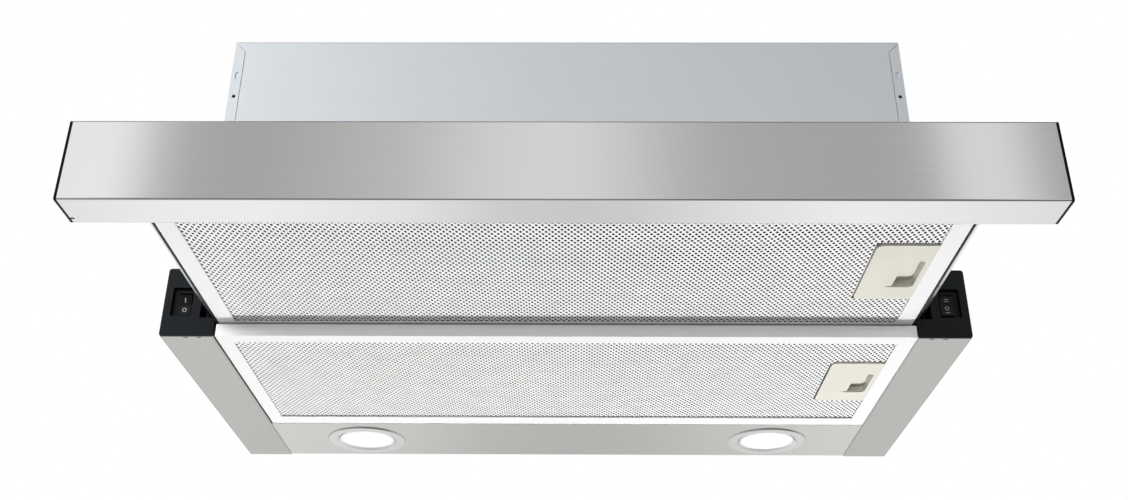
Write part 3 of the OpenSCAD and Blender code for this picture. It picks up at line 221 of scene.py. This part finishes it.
def make_lamp(name, at, towards, size, watts):
    """A soft lamp that dull surfaces see and metal doesn't, as metal sees the world instead."""
    data = bpy.data.lights.new(name, "AREA")
    data.shape = "RECTANGLE"
    data.size, data.size_y = size
    data.energy = watts
    obj = bpy.data.objects.new(name, data)
    bpy.context.scene.collection.objects.link(obj)
    obj.location = at
    obj.rotation_mode = "QUATERNION"
    obj.rotation_quaternion = (Vector(towards) - Vector(at)).to_track_quat("-Z", "Y")
    obj.visible_camera = False
    obj.visible_glossy = False


def make_floor():
    signs = ((-1, -1), (1, -1), (1, 1), (-1, 1))
    corners = [(i * FLOOR_HALF, j * FLOOR_HALF, FLOOR_Z) for i, j in signs]
    floor = new_mesh("floor", corners, [(0, 1, 2, 3)])
    material = bpy.data.materials.new("floor")
    material.use_nodes = True
    tree = material.node_tree
    tree.nodes.clear()
    diffuse = new_node(tree, "ShaderNodeBsdfDiffuse")
    diffuse.inputs["Color"].default_value = grey(FLOOR_COLOUR)
    bright = new_node(tree, "ShaderNodeEmission")
    bright.inputs["Color"].default_value = grey(FLOOR_SHOWN)
    added = new_node(tree, "ShaderNodeAddShader")
    output = new_node(tree, "ShaderNodeOutputMaterial")
    camera_ray, _ = seen_rays(tree)
    tree.links.new(camera_ray, bright.inputs["Strength"])
    tree.links.new(diffuse.outputs[0], added.inputs[0])
    tree.links.new(bright.outputs[0], added.inputs[1])
    tree.links.new(added.outputs[0], output.inputs["Surface"])
    floor.data.materials.append(material)
    floor.visible_glossy = False


def make_studio():
    make_world()
    for lamp in LAMPS:
        make_lamp(*lamp)
    make_floor()


# ---------------------------------------------------------------------------
# Mesh and material helpers


def new_mesh(name, vertices, faces):
    mesh = bpy.data.meshes.new(name)
    mesh.from_pydata([tuple(v) for v in vertices], [], [tuple(f) for f in faces])
    mesh.validate()
    mesh.update()
    obj = bpy.data.objects.new(name, mesh)
    bpy.context.scene.collection.objects.link(obj)
    return obj


def new_material(name, colour, metallic, roughness, **sockets):
    """A Principled material. Uniform values go straight to the shader's own sockets."""
    material = bpy.data.materials.new(name)
    material.use_nodes = True
    shader = material.node_tree.nodes["Principled BSDF"]
    shader.inputs["Base Color"].default_value = (*colour, 1)
    shader.inputs["Metallic"].default_value = metallic
    shader.inputs["Roughness"].default_value = roughness
    for key, value in sockets.items():
        shader.inputs[key.replace("_", " ")].default_value = value
    return material


def object_place(tree, scale):
    """Object coordinates, which are the row frame's metres, times a scale for each axis."""
    coordinates = new_node(tree, "ShaderNodeTexCoord")
    mapping = new_node(tree, "ShaderNodeMapping")
    mapping.inputs["Scale"].default_value = scale
    tree.links.new(coordinates.outputs["Object"], mapping.inputs["Vector"])
    return mapping.outputs[0]


def noise(tree, scale, detail=2.0, rough=0.5):
    """Noise with scale cells in a metre, one number for all axes or one for each."""
    node = new_node(tree, "ShaderNodeTexNoise")
    node.inputs["Scale"].default_value = 1
    node.inputs["Detail"].default_value = detail
    node.inputs["Roughness"].default_value = rough
    cells = scale if isinstance(scale, tuple) else (scale,) * 3
    tree.links.new(object_place(tree, cells), node.inputs["Vector"])
    return node.outputs[0]


def vary(tree, socket, value, amount, *, low=0.3, high=0.7):
    """Drives a shader's number by a texture value, by up to amount either way."""
    base = socket.default_value
    node = new_node(tree, "ShaderNodeMapRange")
    node.inputs["From Min"].default_value = low
    node.inputs["From Max"].default_value = high
    node.inputs["To Min"].default_value = base - amount
    node.inputs["To Max"].default_value = base + amount
    tree.links.new(value, node.inputs["Value"])
    tree.links.new(node.outputs[0], socket)


def shade(tree, shader, factor):
    """Multiplies the base colour, or what already drives it, by a factor."""
    socket = shader.inputs["Base Color"]
    if socket.is_linked:
        base = socket.links[0].from_socket
    else:
        base = tuple(socket.default_value)
    tree.links.new(mix(tree, 1.0, base, factor, "MULTIPLY"), socket)


def tint(tree, shader, value, amount, *, low=0.3, high=0.7):
    """Darkens and lightens the base colour by a texture value."""
    shade(tree, shader, ramp(tree, value, [(low, grey(1 - amount)), (high, grey(1 + amount))]))


def bump(tree, shader, value, depth_mm):
    node = new_node(tree, "ShaderNodeBump")
    node.inputs["Strength"].default_value = 1
    node.inputs["Distance"].default_value = depth_mm * MM
    tree.links.new(value, node.inputs["Height"])
    tree.links.new(node.outputs[0], shader.inputs["Normal"])


# cells in a metre of the brushed grain, along it and across it
GRAIN_ALONG, GRAIN_ACROSS = 5, 1700
SWATH_ALONG, SWATH_ACROSS = 2.5, 160


def brushed(name, colour, roughness, along, *, metallic=1.0, stretch=0.8, streaks=1.0, clouds=0.01):
    """Brushed sheet: fine streaks along one axis, and highlights that they draw out across them."""
    material = new_material(
        name, colour, metallic, roughness, Anisotropic=stretch, Anisotropic_Rotation=0.25
    )
    tree = material.node_tree
    shader = tree.nodes["Principled BSDF"]
    grain = new_node(tree, "ShaderNodeCombineXYZ")
    grain.inputs["xyz".index(along)].default_value = 1
    tree.links.new(grain.outputs[0], shader.inputs["Tangent"])
    fine = tuple(GRAIN_ALONG if axis == along else GRAIN_ACROSS for axis in "xyz")
    broad = tuple(SWATH_ALONG if axis == along else SWATH_ACROSS for axis in "xyz")
    streak = noise(tree, fine, detail=3, rough=0.6)
    tint(tree, shader, streak, 0.03 * streaks)
    tint(tree, shader, noise(tree, broad), 0.01 * streaks)
    tint(tree, shader, noise(tree, 9, detail=3), clouds)
    vary(tree, shader.inputs["Roughness"], streak, 0.03 * streaks)
    bump(tree, shader, streak, 0.002 * streaks)
    return material


# cells of the zinc in a metre, and how far their edges wander
SPANGLES, SPANGLE_WARP = 95, 0.7
# a painted dark reflection of the bend along the top of the housing: this high, and the colour times this
# much there
PAINTED_BEND_LINE, PAINTED_BEND_SHADE = 0.0012, 0.35


def spangle(tree):
    """Zinc crystals: cells of even tone with wandering edges."""
    cells = new_node(tree, "ShaderNodeTexVoronoi", feature="SMOOTH_F1")
    cells.inputs["Scale"].default_value = 1
    cells.inputs["Smoothness"].default_value = 0.25
    warp = new_node(tree, "ShaderNodeTexNoise")
    warp.inputs["Scale"].default_value = 120
    tree.links.new(object_place(tree, (1, 1, 1)), warp.inputs["Vector"])
    bent = new_node(tree, "ShaderNodeVectorMath", operation="MULTIPLY_ADD")
    tree.links.new(warp.outputs["Color"], bent.inputs[0])
    bent.inputs[1].default_value = (SPANGLE_WARP,) * 3
    tree.links.new(object_place(tree, (SPANGLES,) * 3), bent.inputs[2])
    tree.links.new(bent.outputs[0], cells.inputs["Vector"])
    single = new_node(tree, "ShaderNodeSeparateColor")
    tree.links.new(cells.outputs["Color"], single.inputs[0])
    return single.outputs[0]


def height_of(tree, vector):
    """The Z of a vector socket."""
    parts = new_node(tree, "ShaderNodeSeparateXYZ")
    tree.links.new(vector, parts.inputs[0])
    return parts.outputs[2]


def galvanised_sheet(name, colour, roughness):
    """Zinc coated sheet with a faint spangle, and a painted dark reflection along the bend at its top."""
    material = new_material(name, colour, 0.6, roughness)
    tree = material.node_tree
    shader = tree.nodes["Principled BSDF"]
    crystals = spangle(tree)
    tint(tree, shader, crystals, 0.010, low=0.1, high=0.9)
    tint(tree, shader, noise(tree, 14, detail=3), 0.008)
    vary(tree, shader.inputs["Roughness"], crystals, 0.025, low=0.1, high=0.9)
    bump(tree, shader, noise(tree, 900), 0.004)
    # painted reflection: upright faces near the top edge are darkened, standing for the dark reflection of
    # the bend
    z = height_of(tree, object_place(tree, (1, 1, 1)))
    near_top = maths(tree, "MULTIPLY_ADD", z, 1 / PAINTED_BEND_LINE, 1, clamp=True)
    facing = height_of(tree, new_node(tree, "ShaderNodeNewGeometry").outputs["Normal"])
    upright = maths(tree, "LESS_THAN", maths(tree, "ABSOLUTE", facing), 0.5)
    painted_bend_reflection = maths(tree, "MULTIPLY", near_top, upright)
    shade(tree, shader, ramp(tree, painted_bend_reflection, [(0, WHITE), (0.5, grey(PAINTED_BEND_SHADE))]))
    return material


# size of the grain of moulded plastic
MOULD_GRAIN = 0.6 * MM


def moulded(name, colour, roughness, *, depth_mm=0.01, **sockets):
    """Moulded plastic with a fine grain and a faint sheen variation."""
    material = new_material(name, colour, 0.0, roughness, **sockets)
    tree = material.node_tree
    shader = tree.nodes["Principled BSDF"]
    cloud = noise(tree, 25, detail=3)
    tint(tree, shader, cloud, 0.04)
    vary(tree, shader.inputs["Roughness"], cloud, 0.05)
    bump(tree, shader, noise(tree, 1 / MOULD_GRAIN), depth_mm)
    return material


def plated(name, colour, roughness, *, metallic=1.0):
    """Plated or painted small metal part, slightly mottled."""
    material = new_material(name, colour, metallic, roughness)
    tree = material.node_tree
    shader = tree.nodes["Principled BSDF"]
    cloud = noise(tree, 60, detail=4)
    tint(tree, shader, cloud, 0.05)
    vary(tree, shader.inputs["Roughness"], cloud, 0.06)
    bump(tree, shader, noise(tree, 700), 0.004)
    return material


# pitch of the crossing strands behind a filter's net, and blots in a metre
FOIL_X, FOIL_Y = 9.3 * MM, 6.7 * MM
FOIL_BLOTS = 260
# where the cover of strands starts to show, and where it is full
FOIL_FROM, FOIL_FULL = 0.76, 0.92


def layered_foil(name, colour, dark):
    """Layers of expanded foil seen through the front net: strands that cross, and painted shade of the
    deeper layers between them.
    """
    material = new_material(name, colour, 0.0, 0.5, Specular_IOR_Level=0.06)
    tree = material.node_tree
    shader = tree.nodes["Principled BSDF"]
    place = new_node(tree, "ShaderNodeSeparateXYZ")
    turns = (2 * math.pi / FOIL_X, 2 * math.pi / FOIL_Y, 1)
    tree.links.new(object_place(tree, turns), place.inputs[0])
    along, across = place.outputs[0], place.outputs[1]
    waves = []
    for kind in ("ADD", "SUBTRACT"):
        waves.append(maths(tree, "ABSOLUTE", maths(tree, "SINE", maths(tree, kind, along, across))))
    strand = maths(tree, "MAXIMUM", *waves)
    blot = noise(tree, FOIL_BLOTS, detail=1)
    cover = maths(tree, "MULTIPLY", maths(tree, "ADD", strand, blot), 0.5)
    # painted shade: where the strands' cover is low the colour is the near-black dark, for the shade deep
    # between the layers
    stops = [(0, grey(dark)), (FOIL_FROM, grey(dark)), (FOIL_FULL, (*colour, 1)), (1, (*colour, 1))]
    tree.links.new(ramp(tree, cover, stops), shader.inputs["Base Color"])
    return material


# brightness of a lamp behind its lens, and how it fades from the middle (0) to the rim (1)
LAMP_STRENGTH = 3.0
LAMP_FADE = [(0, grey(1)), (0.5, grey(0.6)), (0.68, grey(0.2)), (0.84, grey(0.06)), (1, grey(0.02))]


def lit_glass(node):
    """Frosted lens, lit from behind: bright over the lamp and fading towards its rim."""
    material = moulded(f"{node}_glass", (0.66, 0.66, 0.655), 0.35, depth_mm=0.004)
    tree = material.node_tree
    shader = tree.nodes["Principled BSDF"]
    shader.inputs["Emission Color"].default_value = (1, 0.995, 0.98, 1)
    lo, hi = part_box(node)
    centre = new_node(tree, "ShaderNodeCombineXYZ")
    for i in range(3):
        centre.inputs[i].default_value = (lo[i] + hi[i]) / 2
    away = new_node(tree, "ShaderNodeVectorMath", operation="DISTANCE")
    tree.links.new(object_place(tree, (1, 1, 1)), away.inputs[0])
    tree.links.new(centre.outputs[0], away.inputs[1])
    share = maths(tree, "DIVIDE", away.outputs["Value"], (hi[0] - lo[0]) / 2)
    strength = maths(tree, "MULTIPLY", ramp(tree, share, LAMP_FADE, "EASE"), LAMP_STRENGTH)
    tree.links.new(strength, shader.inputs["Emission Strength"])
    return material


def dress(material, *names):
    for name in names:
        node = nodes[name]
        if not node.data.materials:
            node.data.materials.append(material)
        for slot in node.material_slots:
            slot.link = "OBJECT"
            slot.material = material


# ---------------------------------------------------------------------------
# Expanded metal of the filters, in millimetres

# distance of the openings in a row, and of one row from the next
PITCH_X, PITCH_Y = 4.07, 2.98
# half the opening's width, half the width of its flat top and bottom, and half its height
HOLE_X, HOLE_TIP_X, HOLE_Y = 1.16, 0.32, 1.42
NET_T = 0.22
# lift of the strands off the sheet's middle, and how much less it is for each millimetre to the right
NET_LIFT, NET_LIFT_FALL = 0.12, 0.09 / 260
# an opening's corners with their share of the lift, and their places in that list
OUTLINE = [
    (-HOLE_X, 0, 1), (-HOLE_TIP_X, -HOLE_Y, 1), (HOLE_TIP_X, -HOLE_Y, -0.3),
    (HOLE_X, 0, -1), (HOLE_TIP_X, HOLE_Y, -1), (-HOLE_TIP_X, HOLE_Y, 0.3)
]
LEFT, LOW_LEFT, LOW_RIGHT, RIGHT, TOP_RIGHT, TOP_LEFT = range(6)


def expanded_metal(name, window, height, keep_out):
    """A sheet of staggered six-sided openings between strands that lean, as one closed mesh.

    window is (x0, x1, y0, y1), height the sheet's middle and keep_out what a latch plate fills.
    """
    x0, x1, y0, y1 = window
    columns = int((x1 - x0) / PITCH_X) + 3
    rows = int((y1 - y0) / PITCH_Y) + 3
    start = {}
    points = []
    for row in range(-1, rows + 1):
        for column in range(-1, columns + 1):
            x = x0 + (column + 0.5 * (row % 2)) * PITCH_X
            y = y0 + row * PITCH_Y
            if not (x0 - PITCH_X <= x <= x1 + PITCH_X and y0 - PITCH_Y <= y <= y1 + PITCH_Y):
                continue
            if keep_out[0] < x < keep_out[1] and keep_out[2] < y < keep_out[3]:
                continue
            start[row, column] = len(points)
            lean = NET_LIFT - NET_LIFT_FALL * x
            points += [(x + dx, y + dy, height + lift * lean) for dx, dy, lift in OUTLINE]

    def above(row, column, step):
        """The hole in the next row up, to the left (-1) or the right (1)."""
        return row + 1, column + (row % 2 if step > 0 else row % 2 - 1)

    faces = []
    for (row, column), first in start.items():
        right = start.get(above(row, column, 1))
        left = start.get(above(row, column, -1))
        over = start.get((row + 2, column))
        if right is not None:
            faces.append((first + RIGHT, right + LOW_LEFT, right + LEFT, first + TOP_RIGHT))
        if left is not None:
            faces.append((first + TOP_LEFT, left + RIGHT, left + LOW_RIGHT, first + LEFT))
        if right is not None and left is not None and over is not None:
            faces.append((first + TOP_LEFT, first + TOP_RIGHT, right + LEFT, over + LOW_RIGHT))
            faces.append((first + TOP_LEFT, over + LOW_RIGHT, over + LOW_LEFT, left + RIGHT))
    return thick_sheet(name, points, faces, NET_T)


def thick_sheet(name, points, faces, thickness):
    """Closes a one-sided sheet, drawn in millimetres, into a solid that is thick in Z."""
    count = len(points)
    lower = [(x * MM, y * MM, (z - thickness / 2) * MM) for x, y, z in points]
    upper = [(x * MM, y * MM, (z + thickness / 2) * MM) for x, y, z in points]
    edges = {}
    for face in faces:
        edges.update(dict.fromkeys(zip(face, face[1:] + face[:1])))
    walls = [(a, b, b + count, a + count) for a, b in edges if (b, a) not in edges]
    flipped = [face[::-1] for face in faces]
    raised = [tuple(i + count for i in face) for face in faces]
    return new_mesh(name, lower + upper, flipped + raised + walls)


def box_mm(name):
    """The lowest and the highest corner of a node, in millimetres."""
    lo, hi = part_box(name)
    return [v / MM for v in lo], [v / MM for v in hi]


# what the folded border of a filter frame takes off its box, and how far the net goes on under it
BORDER_FRONT, BORDER_REAR = 12.6, 16
NET_MARGIN = 1.5
# the net's height over the frame's lowest face, and how far it goes on over the latch plate's edge
NET_Z = 1.45
PLATE_INSET = 1.2


def make_net(part, body, border_side):
    """The net of one filter, border_side millimetres clear of the frame's right and left edges."""
    frame_lo, frame_hi = box_mm(f"{part}_filter_frame")
    plate_lo, plate_hi = box_mm(f"{part}_latch_plate")
    half_width = frame_hi[0] - border_side + NET_MARGIN
    window = (
        -half_width, half_width,
        frame_lo[1] + BORDER_FRONT - NET_MARGIN, frame_hi[1] - BORDER_REAR + NET_MARGIN
    )
    keep_out = (
        plate_lo[0] + PLATE_INSET, plate_hi[0] - PLATE_INSET,
        plate_lo[1] + PLATE_INSET, plate_hi[1] - PLATE_INSET
    )
    net = expanded_metal(f"{part}_expanded_metal", window, frame_lo[2] + NET_Z, keep_out)
    net.data.materials.append(net_metal)
    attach(net, body)
    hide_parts(f"{part}_filter_mesh")


# ---------------------------------------------------------------------------
# Build

make_camera()
make_studio()

galvanised = galvanised_sheet("galvanised", (0.675, 0.708, 0.735), 0.45)
fascia_steel = brushed(
    "fascia_stainless", (0.66, 0.655, 0.645), 0.12, "x", stretch=0.9, streaks=0.4, clouds=0.004
)
arm_steel = brushed("arm_stainless", (0.42, 0.412, 0.395), 0.25, "y", streaks=0.6)
strip_steel = brushed("strip_stainless", (0.575, 0.568, 0.55), 0.22, "x", streaks=0.6, clouds=0.004)
black = moulded("black_plastic", (0.007, 0.0087, 0.0105), 0.5, Specular_IOR_Level=0.2)
black_gloss = moulded("black_gloss", (0.002, 0.002, 0.002), 0.4, depth_mm=0.004, Specular_IOR_Level=0.1)
rocker_black = moulded(
    "rocker_plastic", (0.003, 0.0036, 0.0045), 0.35, depth_mm=0.004, Specular_IOR_Level=0.25
)
mark_paint = moulded("mark_paint", (0.40, 0.41, 0.42), 0.5, depth_mm=0.002)
bezel = plated("lamp_bezel", (0.68, 0.68, 0.67), 0.35)
white_plastic = moulded("white_plastic", (0.80, 0.80, 0.78), 0.4)
grey_plastic = moulded("grey_plastic", (0.11, 0.11, 0.115), 0.45)
motor_metal = plated("motor_metal", (0.24, 0.26, 0.29), 0.4, metallic=0.6)
zinc = plated("zinc_steel", (0.74, 0.745, 0.75), 0.3, metallic=0.6)
dark_steel = plated("dark_steel", (0.022, 0.022, 0.023), 0.4, metallic=0.4)
rotor_steel = plated("impeller_steel", (0.55, 0.56, 0.58), 0.38)
spring_steel = plated("spring_steel", (0.62, 0.62, 0.62), 0.2)
ball_steel = plated("ball_steel", (0.75, 0.75, 0.76), 0.12)
filter_metal = brushed(
    "filter_aluminium", (0.84, 0.845, 0.84), 0.36, "x", metallic=0.15, stretch=0.3, streaks=0.5
)
# the 0.006 is the painted shade between the foil's strands
pack_metal = layered_foil("filter_pack", (0.5, 0.5, 0.5), 0.006)
net_metal = plated("filter_mesh", (0.97, 0.97, 0.97), 0.42, metallic=0.1)
cream = moulded("cream_plastic", (0.67, 0.652, 0.575), 0.38, depth_mm=0.003)

dress(galvanised, "housing_wrap", "housing_side_left", "housing_side_right", "rear_panel", "tray_cover")
dress(arm_steel, "side_arm_left", "side_arm_right")
dress(strip_steel, "lamp_panel")
dress(fascia_steel, "fascia")
dress(
    black,
    "cap_left", "cap_right", "light_switch", "speed_switch", "microswitch", "duct_collar", "cable_gland"
)
dress(black_gloss, "fascia_cap_left", "fascia_cap_right")
dress(rocker_black, "light_rocker", "speed_rocker")
dress(bezel, "lamp_ring_left", "lamp_ring_right")
for lens in ("lamp_lens_left", "lamp_lens_right"):
    dress(lit_glass(lens), lens)
dress(
    white_plastic,
    "lamp_body_left", "lamp_body_right", "capacitor", "terminal_box", "cage_left", "cage_right"
)
dress(grey_plastic, "fan_housing", "flap_front", "flap_rear")
dress(motor_metal, "motor")
dress(
    zinc,
    "motor_bracket", "flap_pin", "runner_outer_left", "runner_outer_right", "runner_inner_left",
    "runner_inner_right", "housing_screws", "tray_screws"
)
dress(dark_steel, "tray_frame")
dress(rotor_steel, "impeller")
dress(spring_steel, "fan_shaft", "front_latch_spring", "rear_latch_spring", "switch_leaf")
dress(ball_steel, "balls_left", "balls_right")
dress(filter_metal, "front_filter_frame", "rear_filter_frame")
dress(pack_metal, "front_filter_pack", "rear_filter_pack")
dress(cream, "front_latch_plate", "rear_latch_plate", "front_latch", "rear_latch")

make_net("front", "tray", 12.5)
make_net("rear", "body", 12.4)

# ---------------------------------------------------------------------------
# Latch springs, drawn as fixed coils; the real ones shorten as their latch is pulled

SPRING_TURNS, SPRING_STEPS, WIRE_SIDES = 6, 20, 10
SPRING_WIRE = 0.35 * MM


def coil(name, lo, hi):
    """A helix of round wire along X that fills the box from lo to hi, closed at both ends."""
    mid_y, mid_z = (lo[1] + hi[1]) / 2, (lo[2] + hi[2]) / 2
    radius = (hi[1] - lo[1]) / 2 - SPRING_WIRE
    length = hi[0] - lo[0] - 2 * SPRING_WIRE
    lean = math.atan(length / SPRING_TURNS / (2 * math.pi * radius))
    rings = SPRING_TURNS * SPRING_STEPS
    vertices = []
    for i in range(rings + 1):
        a = 2 * math.pi * i / SPRING_STEPS
        outward = Vector((0, math.cos(a), math.sin(a)))
        along = Vector((math.sin(lean), -math.sin(a) * math.cos(lean), math.cos(a) * math.cos(lean)))
        across = outward.cross(along)
        middle = Vector((lo[0] + SPRING_WIRE + length * i / rings, mid_y, mid_z)) + radius * outward
        for j in range(WIRE_SIDES):
            b = 2 * math.pi * j / WIRE_SIDES
            vertices.append(middle + SPRING_WIRE * (math.cos(b) * outward + math.sin(b) * across))
    faces = []
    for i in range(rings):
        for j in range(WIRE_SIDES):
            p, q = i * WIRE_SIDES + j, i * WIRE_SIDES + (j + 1) % WIRE_SIDES
            faces.append((p, q, q + WIRE_SIDES, p + WIRE_SIDES))
    faces.append(tuple(reversed(range(WIRE_SIDES))))
    faces.append(tuple(rings * WIRE_SIDES + j for j in range(WIRE_SIDES)))
    piece = new_mesh(name, vertices, faces)
    for face in piece.data.polygons[:-2]:
        face.use_smooth = True
    piece.data.materials.append(spring_steel)
    return piece


for part, body in (("front", "tray"), ("rear", "body")):
    lo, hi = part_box(f"{part}_latch_spring")
    spring = coil(f"{part}_latch_coil", lo, hi)
    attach(spring, body)
    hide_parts(f"{part}_latch_spring")
    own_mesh(spring)

# ---------------------------------------------------------------------------
# Leaf of the microswitch, drawn as a fixed bent strip; on the real hood the tray presses it back

# its two faces from the fixed end to the tip, as (x, y), and its lowest and highest edge, in millimetres
LEAF_OUTER = [(244.4, 54.4), (244.4, 52.8), (242, 51.1), (221, 43.5), (219, 45.1)]
LEAF_INNER = [(244, 54.4), (244, 53), (241.8, 51.5), (221, 44), (219.3, 45.4)]
LEAF_Z = (-227.4, -224.2)


def leaf_spring(name):
    points = LEAF_OUTER + LEAF_INNER[::-1]
    count, last = len(points), len(LEAF_OUTER) - 1
    vertices = [(x * MM, y * MM, z * MM) for z in LEAF_Z for x, y in points]
    faces = [(i, (i + 1) % count, (i + 1) % count + count, i + count) for i in range(count)]
    for i in range(last):
        a, b, c, d = i, i + 1, count - 2 - i, count - 1 - i
        faces += [(d, c, b, a), (a + count, b + count, c + count, d + count)]
    piece = new_mesh(name, vertices, faces)
    piece.data.materials.append(spring_steel)
    return piece


leaf = leaf_spring("switch_lever")
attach(leaf, "body")
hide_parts("switch_leaf")
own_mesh(leaf)

# ---------------------------------------------------------------------------
# Paint in the marks of the rockers, in millimetres

# middle of the right rocker's axis, which the left one mirrors
ROCKER_X, ROCKER_Y, ROCKER_Z = 284, -134, 26.5 - 266
# distance of its front from the axis at half height, and how much further each half goes towards its end
ROCKER_FACE, ROCKER_SLOPE = 5.6, 1.1 / 7.8
# depth of the paint's face and of its back under the rocker's face
MARK_TOP, MARK_BOTTOM = 0.04, 0.3
ROUND_STEPS = 28
# radius of the ring and of its hole; the lying strokes are as wide as the ring
RING_OUTER, RING_INNER = 1.66, 1.14


def stroke(half_x, z0, z1):
    """A bar with clipped corners, as its outline."""
    cut = min(half_x, (z1 - z0) / 2) * 0.35
    return [
        (-half_x + cut, z0), (half_x - cut, z0), (half_x, z0 + cut), (half_x, z1 - cut),
        (half_x - cut, z1), (-half_x + cut, z1), (-half_x, z1 - cut), (-half_x, z0 + cut)
    ]


def circle(radius):
    angles = [2 * math.pi * i / ROUND_STEPS for i in range(ROUND_STEPS)]
    return [(radius * math.cos(a), radius * math.sin(a)) for a in angles]


def rocker_marks(name, side, tilt, marks, body):
    """Thin inlays, level with a rocker's two faces, as one mesh.

    Each mark is (height over the rocker's middle, its outline, the outline of its hole or None).
    """
    vertices, faces = [], []
    axis = Matrix.Translation((side * ROCKER_X, ROCKER_Y, ROCKER_Z))
    turn = axis @ Matrix.Rotation(math.radians(tilt), 4, "X")
    for height, outer, inner in marks:
        lean = math.copysign(math.atan(ROCKER_SLOPE), height)
        face_y = -ROCKER_FACE - ROCKER_SLOPE * abs(height)
        place = turn @ Matrix.Translation((0, face_y, height)) @ Matrix.Rotation(lean, 4, "X")
        first, count = len(vertices), len(outer)
        rings = [(outer, MARK_TOP), (outer, MARK_BOTTOM)]
        if inner:
            rings += [(inner, MARK_BOTTOM), (inner, MARK_TOP)]
        for ring, depth in rings:
            vertices += [place @ Vector((x, depth, z)) * MM for x, z in ring]
        if inner:
            pairs = [(0, 1), (1, 2), (2, 3), (3, 0)]
        else:
            pairs = [(0, 1)]
            faces.append([first + i for i in range(count)])
            faces.append([first + count + i for i in reversed(range(count))])
        for a, b in pairs:
            start, end = first + a * count, first + b * count
            for i in range(count):
                j = (i + 1) % count
                faces.append([start + j, start + i, end + i, end + j])
    piece = new_mesh(name, vertices, faces)
    piece.data.materials.append(mark_paint)
    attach(piece, body)


ring_mark = (circle(RING_OUTER), circle(RING_INNER))
rocker_marks("speed_rocker_marks", 1, 0, [
    (4.6, stroke(RING_OUTER, -1.06, -0.54), None),
    (4.6, stroke(RING_OUTER, 0.54, 1.06), None),
    (-1.6, *ring_mark),
    (-5.4, stroke(RING_OUTER, -0.26, 0.26), None)
], "speed_rocker_body")
rocker_marks("light_rocker_marks", -1, 7, [
    (4, stroke(0.31, -1.86, 1.86), None),
    (-3.6, *ring_mark)
], "light_rocker_body")

bpy.context.scene.view_settings.view_transform = "Standard"
